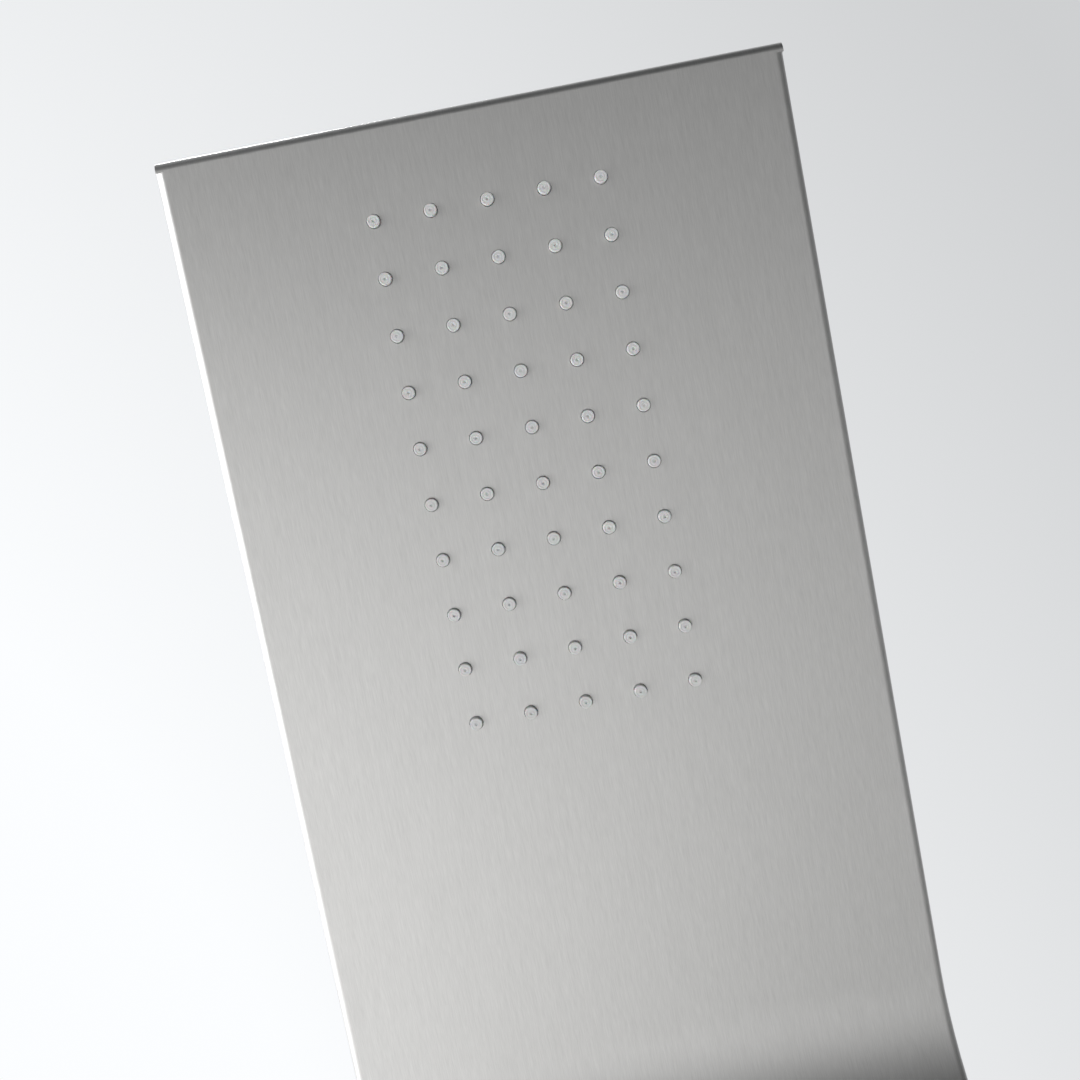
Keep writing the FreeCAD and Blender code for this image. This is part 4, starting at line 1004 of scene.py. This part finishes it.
@dataclass(frozen=True)
class SocketScrews:
    """Screws in one or more equal grids, each with a hexagon socket in its round head.

    Attributes:
        node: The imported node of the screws.
        up: Direction up the grid, in a frame whose Z comes out of the heads.
        count: Columns and rows of a grid.
        shank: Radius of the shank.
        head: Radius of the head.
        height: Height of the head.
        grids: Number of grids, one above the other.
        grid_pitch: Distance between their middles.
        segments: Steps round a screw.
    """

    node: str
    up: Vector
    count: tuple[int, int]
    shank: float
    head: float
    height: float
    grids: int = 1
    grid_pitch: float = 0.0
    segments: int = 24

    def unit(self, length: float) -> bpy.types.Mesh:
        """One screw with a shank of a length, its head standing on Z = 0."""
        top = self.height
        socket = self.head * 0.5
        soft = self.head * 0.12
        rings = [
            Ring(0, top * 0.3), Ring(socket, top * 0.36, sides=6), Ring(socket, top - soft * 0.4, sides=6),
            Ring(socket * 1.2, top), Ring(self.head - soft, top), Ring(self.head - soft * 0.3, top - soft * 0.3),
            Ring(self.head, top - soft), Ring(self.head, 0), Ring(self.shank, 0),
            Ring(self.shank, -length + self.shank * 0.3), Ring(self.shank * 0.7, -length), Ring(0, -length),
        ]
        return turned(self.node + "_unit", rings, self.segments)

    def build(self, pattern: Pattern, materials: Finished) -> None:
        """Makes all the screws of the node as one piece.

        Args:
            pattern: The tree that repeats the screw.
            materials: The finishes.
        """
        facing = Facing(Vector((0, 0, 0)), self.up)
        low, high = facing.box(self.node)
        width = high.x - low.x - 2 * self.head
        rise = high.y - low.y - 2 * self.head - (self.grids - 1) * self.grid_pitch
        pitch = (width / (self.count[0] - 1), rise / (self.count[1] - 1))
        seat = high.z - self.height
        material = materials[slot_of(self.node)]
        grids = []
        for index in range(self.grids):
            above = (index - (self.grids - 1) / 2) * self.grid_pitch
            grid = pattern.set_out(self.unit(seat - low.z), self.count, pitch, material, seed=7 + index)
            middle = facing.moved((low.x + high.x) / 2, (low.y + high.y) / 2 + above, seat)
            grid.transform(middle.matrix)
            grids.append(grid)
        name = self.node + "_socketed"
        add_piece(name, joined(name, grids), self.node, materials)


@dataclass(frozen=True)
class HoseOutlet:
    """The brass fitting at the foot, with the helix of its half-inch thread.

    Attributes:
        node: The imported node.
        thread: Radius over the thread's crests.
        thread_length: Length of the thread.
        thread_pitch: Its pitch.
        groove: Depth of the thread.
        neck: Radius of the neck above it.
        neck_length: Length of the neck, from the hexagon to the thread.
        hexagon: Half the hexagon's width across its flats.
        hexagon_length: Height of the hexagon.
        stub: Radius of the pipe stub above the hexagon.
        bore: Radius of the bore.
        edge: Height and width of the hexagon's chamfers.
        turn: Turn of the hexagon, so that a flat faces the user.
        segments: Steps round the fitting, and along its thread.
    """

    node: str = "hose_outlet"
    thread: float = 10.48 * MM
    thread_length: float = 14.0 * MM
    thread_pitch: float = 1.814 * MM
    groove: float = 1.0 * MM
    neck: float = 11.5 * MM
    neck_length: float = 5.5 * MM
    hexagon: float = 13.0 * MM
    hexagon_length: float = 8.0 * MM
    stub: float = 6.0 * MM
    bore: float = 5.0 * MM
    edge: float = 0.6 * MM
    turn: float = math.radians(30)
    segments: int = 48

    def ridge(self, height: float) -> Ring:
        """The thread's ring at a height above the foot, which runs out softly at both ends."""
        ends = min(height, self.thread_length - height) / self.thread_pitch

        def dip(angle: float) -> float:
            """Depth of the groove at an angle."""
            wave = abs(2 * ((height / self.thread_pitch + angle / (2 * math.pi)) % 1.0) - 1)
            return self.groove * max(min(1.25 * wave - 0.125, 1.0), 1.0 - ends, 0.0)

        return Ring(self.thread, height, dip=dip)

    def build(self, materials: Finished) -> None:
        """Makes the fitting.

        Args:
            materials: The finishes.
        """
        low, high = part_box(self.node)
        steps = self.segments
        threads = [self.ridge(self.thread_length * step / steps) for step in range(steps + 1)]
        seat = self.thread_length + self.neck_length
        shoulder = seat + self.hexagon_length
        top = high.z - low.z
        edge = self.edge
        rings = [
            Ring(self.bore, 0), *threads, Ring(self.neck, self.thread_length), Ring(self.neck, seat),
            Ring(self.hexagon - edge, seat), Ring(self.hexagon, seat + edge, sides=6),
            Ring(self.hexagon, shoulder - edge, sides=6), Ring(self.hexagon - edge, shoulder),
            Ring(self.stub, shoulder), Ring(self.stub, top), Ring(self.bore, top),
        ]
        mesh = turned(self.node + "_threaded", rings, self.segments, closed=True)
        middle = Vector(((low.x + high.x) / 2, (low.y + high.y) / 2, low.z))
        mesh.transform(Matrix.Translation(middle) @ Matrix.Rotation(self.turn, 4, "Z"))
        add_piece(self.node + "_threaded", mesh, self.node, materials)


@dataclass(frozen=True)
class CoilSpring:
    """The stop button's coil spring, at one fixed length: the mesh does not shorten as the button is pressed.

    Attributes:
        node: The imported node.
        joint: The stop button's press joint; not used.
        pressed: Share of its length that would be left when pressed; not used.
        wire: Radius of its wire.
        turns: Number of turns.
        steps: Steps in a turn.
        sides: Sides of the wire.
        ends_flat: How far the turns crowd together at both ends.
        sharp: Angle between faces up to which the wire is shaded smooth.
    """

    node: str = "stop_button_spring"
    joint: str = "stop_button_press"
    pressed: float = 3.0 / 4.5
    wire: float = 0.3 * MM
    turns: float = 4.5
    steps: int = 24
    sides: int = 8
    ends_flat: float = 0.09
    sharp: float = math.radians(60.0)

    def build(self, materials: Finished) -> None:
        """Makes the spring.

        Args:
            materials: The finishes.
        """
        low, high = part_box(self.node)
        middle = (low + high) / 2
        coil = (high.x - low.x) / 2 - self.wire
        rise = high.z - low.z - 2 * self.wire
        shape = bmesh.new()
        rings = []
        count = round(self.turns * self.steps)
        for step in range(count + 1):
            share = step / count
            angle = 2 * math.pi * self.turns * share
            outward = Vector((math.cos(angle), math.sin(angle), 0))
            climb = share - self.ends_flat * math.sin(2 * math.pi * share)
            centre = Vector((middle.x, middle.y, low.z + self.wire + rise * climb)) + outward * coil
            ring = []
            for side in range(self.sides):
                turn = 2 * math.pi * side / self.sides
                offset = outward * math.cos(turn) + Vector((0, 0, math.sin(turn)))
                ring.append(shape.verts.new(centre + offset * self.wire))
            rings.append(ring)
        bridge(shape, rings, self.sides)
        shape.faces.new(rings[0])
        shape.faces.new(rings[-1])
        name = self.node + "_coil"
        piece = add_piece(name, shade(meshed(name, shape), self.sharp), self.node, materials)
        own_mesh(piece)


# ---- printed marks

@dataclass(frozen=True)
class Mark:
    """One printed mark on a dial.

    Attributes:
        angle: Degrees from the top, counter-clockwise as the user sees it.
        text: Its figures, or nothing for a line alone.
        slot: Slot of its print.
    """

    angle: float
    text: str = ""
    slot: Slot = Slot.BLACK


@dataclass
class Dial:
    """Printed lines and figures round a dial.

    Attributes:
        node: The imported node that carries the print.
        marks: Its marks.
        inner: Radius where the lines start.
        outer: Radius where they end.
        figures: Radius of the figures' middles.
        size: Height of the figures' type.
        width: Width of a line.
    """

    node: str
    marks: Sequence[Mark]
    inner: float = 22.8 * MM
    outer: float = 24.2 * MM
    figures: float = 26.4 * MM
    size: float = 3.0 * MM
    width: float = 0.5 * MM

    def line(self, turn: Matrix) -> bpy.types.Mesh:
        """One line at a turn."""
        mesh = rounded_plate("line", self.width, self.outer - self.inner, self.width * 0.45, 2 * PRINT_THICKNESS)
        mesh.transform(turn @ Matrix.Translation((0, (self.inner + self.outer) / 2, PRINT_THICKNESS)))
        return mesh

    def print_of(self, mark: Mark) -> list[bpy.types.Mesh]:
        """The meshes of one mark."""
        turn = Matrix.Rotation(math.radians(mark.angle), 4, "Z")
        meshes = [self.line(turn)]
        if mark.text:
            figures = lettering(mark.text, self.size)
            figures.transform(Matrix.Translation(turn @ Vector((0, self.figures, 0))))
            meshes.append(figures)
        return meshes

    def build(self, materials: Finished) -> None:
        """Makes one piece for each colour of print.

        Args:
            materials: The finishes.
        """
        facing = front_at(self.node).matrix
        for slot in dict.fromkeys(mark.slot for mark in self.marks):
            meshes = [mesh for mark in self.marks if mark.slot is slot for mesh in self.print_of(mark)]
            name = f"{self.node}_print_{slot.name.lower()}"
            whole = joined(name, meshes)
            whole.transform(facing)
            add_piece(name, whole, self.node, materials, slot, hides=False)


@dataclass(frozen=True)
class TemperatureScale:
    """How the knob's turn stands for degrees Celsius.

    Attributes:
        safe: The temperature at rest, where the stop button holds the knob.
        hotter: Degrees of turn for each degree above it.
        colder: Degrees of turn for each degree below it.
    """

    safe: int = 38
    hotter: float = 5.0
    colder: float = 150.0 / 18.0

    def mark(self, temperature: int, labelled: bool) -> Mark:
        """The mark of one temperature; those above the safe one are red."""
        above = temperature - self.safe
        turn = above * (self.hotter if above > 0 else self.colder)
        return Mark(turn, str(temperature) if labelled else "", Slot.RED if above > 0 else Slot.BLACK)

    def marks(self) -> list[Mark]:
        """All marks, with figures at the main ones."""
        labelled = (20, 30, self.safe, 50)
        lines = sorted({*range(20, 52, 2), *labelled})
        return [self.mark(temperature, temperature in labelled) for temperature in lines]


# ---- surroundings

class Backdrop(NodeTree):
    """The surrounding light: pale behind the panel and to the left, dark in front and to the right.

    Attributes:
        tint: Its colour, slightly cool.
        least: The least of it in any direction.
    """

    tint: Colour = (0.97, 0.985, 1.0)
    least: float = 0.08

    def __init__(self) -> None:
        """Starts an empty world."""
        self.world = bpy.data.worlds.new("studio_world")
        self.world.use_nodes = True
        super().__init__(self.world.node_tree)

    def build(self, mean: float, leftward: float, backward: float, forward: float, for_floor: float,
              in_view: float) -> None:
        """Makes the world.

        Args:
            mean: Light from straight above.
            leftward: Gain from the middle to the left.
            backward: Gain from the middle to behind the panel.
            forward: Loss from the middle to in front of the panel.
            for_floor: Share of it that rough surfaces get.
            in_view: The least that the camera itself sees of it.
        """
        around = self.node("ShaderNodeTexCoord").outputs["Generated"]
        parts = self.node("ShaderNodeSeparateXYZ", [(0, around)]).outputs
        across = self.math("MULTIPLY_ADD", parts["X"], -leftward, mean)
        behind = self.math("MULTIPLY", self.math("MAXIMUM", parts["Y"], 0.0), backward)
        before = self.math("MULTIPLY", self.math("MINIMUM", parts["Y"], 0.0), forward)
        total = self.math("ADD", across, self.math("ADD", behind, before))
        rays = self.node("ShaderNodeLightPath").outputs
        least = self.math("MULTIPLY_ADD", rays["Is Camera Ray"], in_view - self.least, self.least)
        total = self.math("MINIMUM", self.math("MAXIMUM", total, least), 1.0)
        seen = self.math("MAXIMUM", rays["Is Camera Ray"], rays["Is Glossy Ray"])
        seen = self.math("MAXIMUM", seen, rays["Is Transmission Ray"])
        share = self.math("MULTIPLY_ADD", seen, 1 - for_floor, for_floor)
        background = self.node("ShaderNodeBackground", [
            ("Color", self.tint), ("Strength", self.math("MULTIPLY", total, share))
        ])
        self.node("ShaderNodeOutputWorld", [("Surface", background.outputs[0])])
        bpy.context.scene.world = self.world


@dataclass
class Studio:
    """Floor, world, lamps and camera.

    Attributes:
        head: The bent sheet's measures.
        floor_size: Length of the floor's side.
        floor_drop: How far the floor lies under the panel.
        floor_colours: The two colours that the floor is mottled in.
        eye: Where the camera is, in the frame of the nozzle field.
        aim: The point of the face that it looks at, in the same frame.
        roll: Its turn about its own axis, in radians.
        photo_focal_pixels: Its focal length in pixels of the photograph.
    """

    head: HeadFrame = field(default_factory=HeadFrame)
    floor_size: float = 14.0
    floor_drop: float = 0.03
    floor_colours: tuple[Colour, Colour] = ((0.74, 0.74, 0.735), (0.78, 0.78, 0.775))
    eye: tuple[float, float, float] = (-8.42 * MM, 20.64 * MM, 493.68 * MM)
    aim: tuple[float, float] = (-4.93 * MM, -29.71 * MM)
    roll: float = math.radians(11.164)
    photo_focal_pixels: float = 1400.0

    def camera(self) -> None:
        """Puts the camera where the photograph was taken from."""
        data = bpy.data.cameras.new("camera")
        data.sensor_width = SENSOR_MM
        data.lens = self.photo_focal_pixels * SENSOR_MM / PHOTO_PIXELS
        data.clip_start = 0.01
        data.clip_end = 60.0
        camera = placed("camera", data)
        eye = self.head.field.moved(*self.eye).origin
        aim = self.head.field.moved(*self.aim).origin
        forward = (aim - eye).normalized()
        up = (self.head.up - forward * self.head.up.dot(forward)).normalized()
        right = forward.cross(up)
        rolled_up = up * math.cos(self.roll) + right * math.sin(self.roll)
        basis = Matrix((forward.cross(rolled_up), rolled_up, -forward)).transposed()
        camera.matrix_world = Matrix.Translation(eye) @ basis.to_4x4()
        bpy.context.scene.camera = camera

    def floor(self) -> None:
        """A plain floor just under the panel, which the camera sees evenly pale."""
        mesh = bpy.data.meshes.new("studio_floor")
        half = self.floor_size / 2
        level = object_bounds()[0][2] - self.floor_drop
        corners = [(-half, -half, level), (half, -half, level), (half, half, level), (-half, half, level)]
        mesh.from_pydata(corners, [], [(0, 1, 2, 3)])
        tree = ShaderTree("pale_floor")
        tree.feed(Base_Color=tree.blend(tree.noise(tree.object, 1.5), *self.floor_colours), Roughness=0.9)
        tree.pale_in_view(paleness=0.74, share=0.6)
        placed("studio_floor", mesh, tree.material)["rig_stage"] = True

    def lamp(self, name: str, at: Vector, target: Vector, size: float, watts: float,
             spread: float = math.pi) -> None:
        """Adds one soft square lamp.

        Args:
            name: The lamp's name.
            at: Its place.
            target: The point it faces.
            size: Length of its side.
            watts: Its power.
            spread: How wide its light opens, in radians.
        """
        data = bpy.data.lights.new(name, "AREA")
        data.size = size
        data.energy = watts
        data.spread = spread
        lamp = placed(name, data)
        lamp.visible_camera = False
        turn = (target - at).to_track_quat("-Z", "Y").to_matrix().to_4x4()
        lamp.matrix_world = Matrix.Translation(at) @ turn

    def lamps(self) -> None:
        """A soft key from the left, and a lamp that makes a pool of light on the floor before the panel."""
        face = self.head.field
        beside = face.moved(across=-1.75, up=-0.15, out=0.45).origin
        self.lamp("key", beside, face.origin, size=2.2, watts=30.0)
        above, ground = Vector((-0.7, 0.3, 1.9)), Vector((-0.6, -0.5, -0.6))
        self.lamp("pool", above, ground, size=1.0, watts=20.0, spread=math.radians(95.0))

    def build(self) -> None:
        """Builds the surroundings."""
        self.camera()
        self.floor()
        Backdrop().build(mean=0.67, leftward=0.42, backward=0.27, forward=0.66, for_floor=0.38, in_view=0.64)
        self.lamps()
        bpy.context.scene.view_settings.view_transform = "Standard"


@dataclass
class Controls:
    """Dials, knobs and the stop button with its spring."""

    materials: Finished

    def build(self) -> None:
        """Makes every visible piece of the two controls."""
        skin = RoundedSkin(self.materials)
        for node in ("mixer_escutcheon", "diverter_escutcheon", "temperature_knob", "temperature_knob_cap",
                     "diverter_knob", "diverter_knob_cap", "diverter_lever", "stop_button"):
            skin.build(node)
        CoilSpring().build(self.materials)
        Dial("mixer_escutcheon", TemperatureScale().marks()).build(self.materials)
        Dial("diverter_escutcheon", [Mark(90, "1"), Mark(0, "2"), Mark(-90, "3")]).build(self.materials)
        Dial("temperature_knob", [Mark(0)], inner=17.6 * MM, outer=20.3 * MM,
             width=0.9 * MM).build(self.materials)


@dataclass
class Sprays:
    """The head's field of nozzles and its cover's screws, and the two body jets with theirs.

    Attributes:
        materials: The finishes.
        head: The bent sheet's measures.
        spray: A nozzle of the head.
        jet: A nozzle of a body jet.
    """

    materials: Finished
    head: HeadFrame = field(default_factory=HeadFrame)
    spray: Nozzle = Nozzle(radius=2.3 * MM, out=2.2 * MM, back=1.5 * MM, bore=0.5 * MM)
    jet: Nozzle = Nozzle(radius=1.8 * MM, out=1.5 * MM, back=2.5 * MM, bore=0.5 * MM)

    def build(self, pattern: Pattern) -> None:
        """Makes the three nozzle fields, the jets' visible metal and the screws.

        Args:
            pattern: The tree that repeats nozzles and screws.
        """
        head = self.head
        NozzleField("nozzle_mat", head.field, self.spray, (head.columns, head.rows), (head.pitch, head.pitch),
                    8 * MM, seed=3).build(pattern, self.materials)
        skin = RoundedSkin(self.materials)
        for seed, name in enumerate(("lower_jet", "upper_jet")):
            skin.build(name + "_bezel")
            skin.build(name + "_barrel")
            NozzleField(name + "_nozzles", front_at(name + "_barrel"), self.jet, (4, 2), (20 * MM, 12 * MM),
                        1.5 * MM, seed=11 + seed).build(pattern, self.materials)
        jets_apart = (front_at("upper_jet_bezel").origin - front_at("lower_jet_bezel").origin).length
        SocketScrews("jet_screws", Vector((0, 0, -1)), (2, 2), 1.5 * MM, 2.8 * MM, 2.0 * MM, grids=2,
                     grid_pitch=jets_apart).build(pattern, self.materials)
        SocketScrews("cover_screws", -head.up, (2, 3), 2.0 * MM, 3.8 * MM,
                     1.6 * MM).build(pattern, self.materials)


def main() -> None:
    """Builds every sub-assembly and its surroundings in order."""
    logging.basicConfig(level=logging.INFO, format="%(name)s: %(message)s")
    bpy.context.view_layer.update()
    materials = Finishes().build()
    pattern = Pattern()
    PackedNodes(materials).dress()
    for node in ("front_panel", "head_back_cover"):
        SheetSkin(materials).build(node)
    Sprays(materials).build(pattern)
    Controls(materials).build()
    skin = RoundedSkin(materials)
    for node in ("holder_base", "holder_cup", "hose_outlet_nut"):
        skin.build(node)
    HoseOutlet().build(materials)
    Studio().build()


if __name__ == "__main__":
    main()
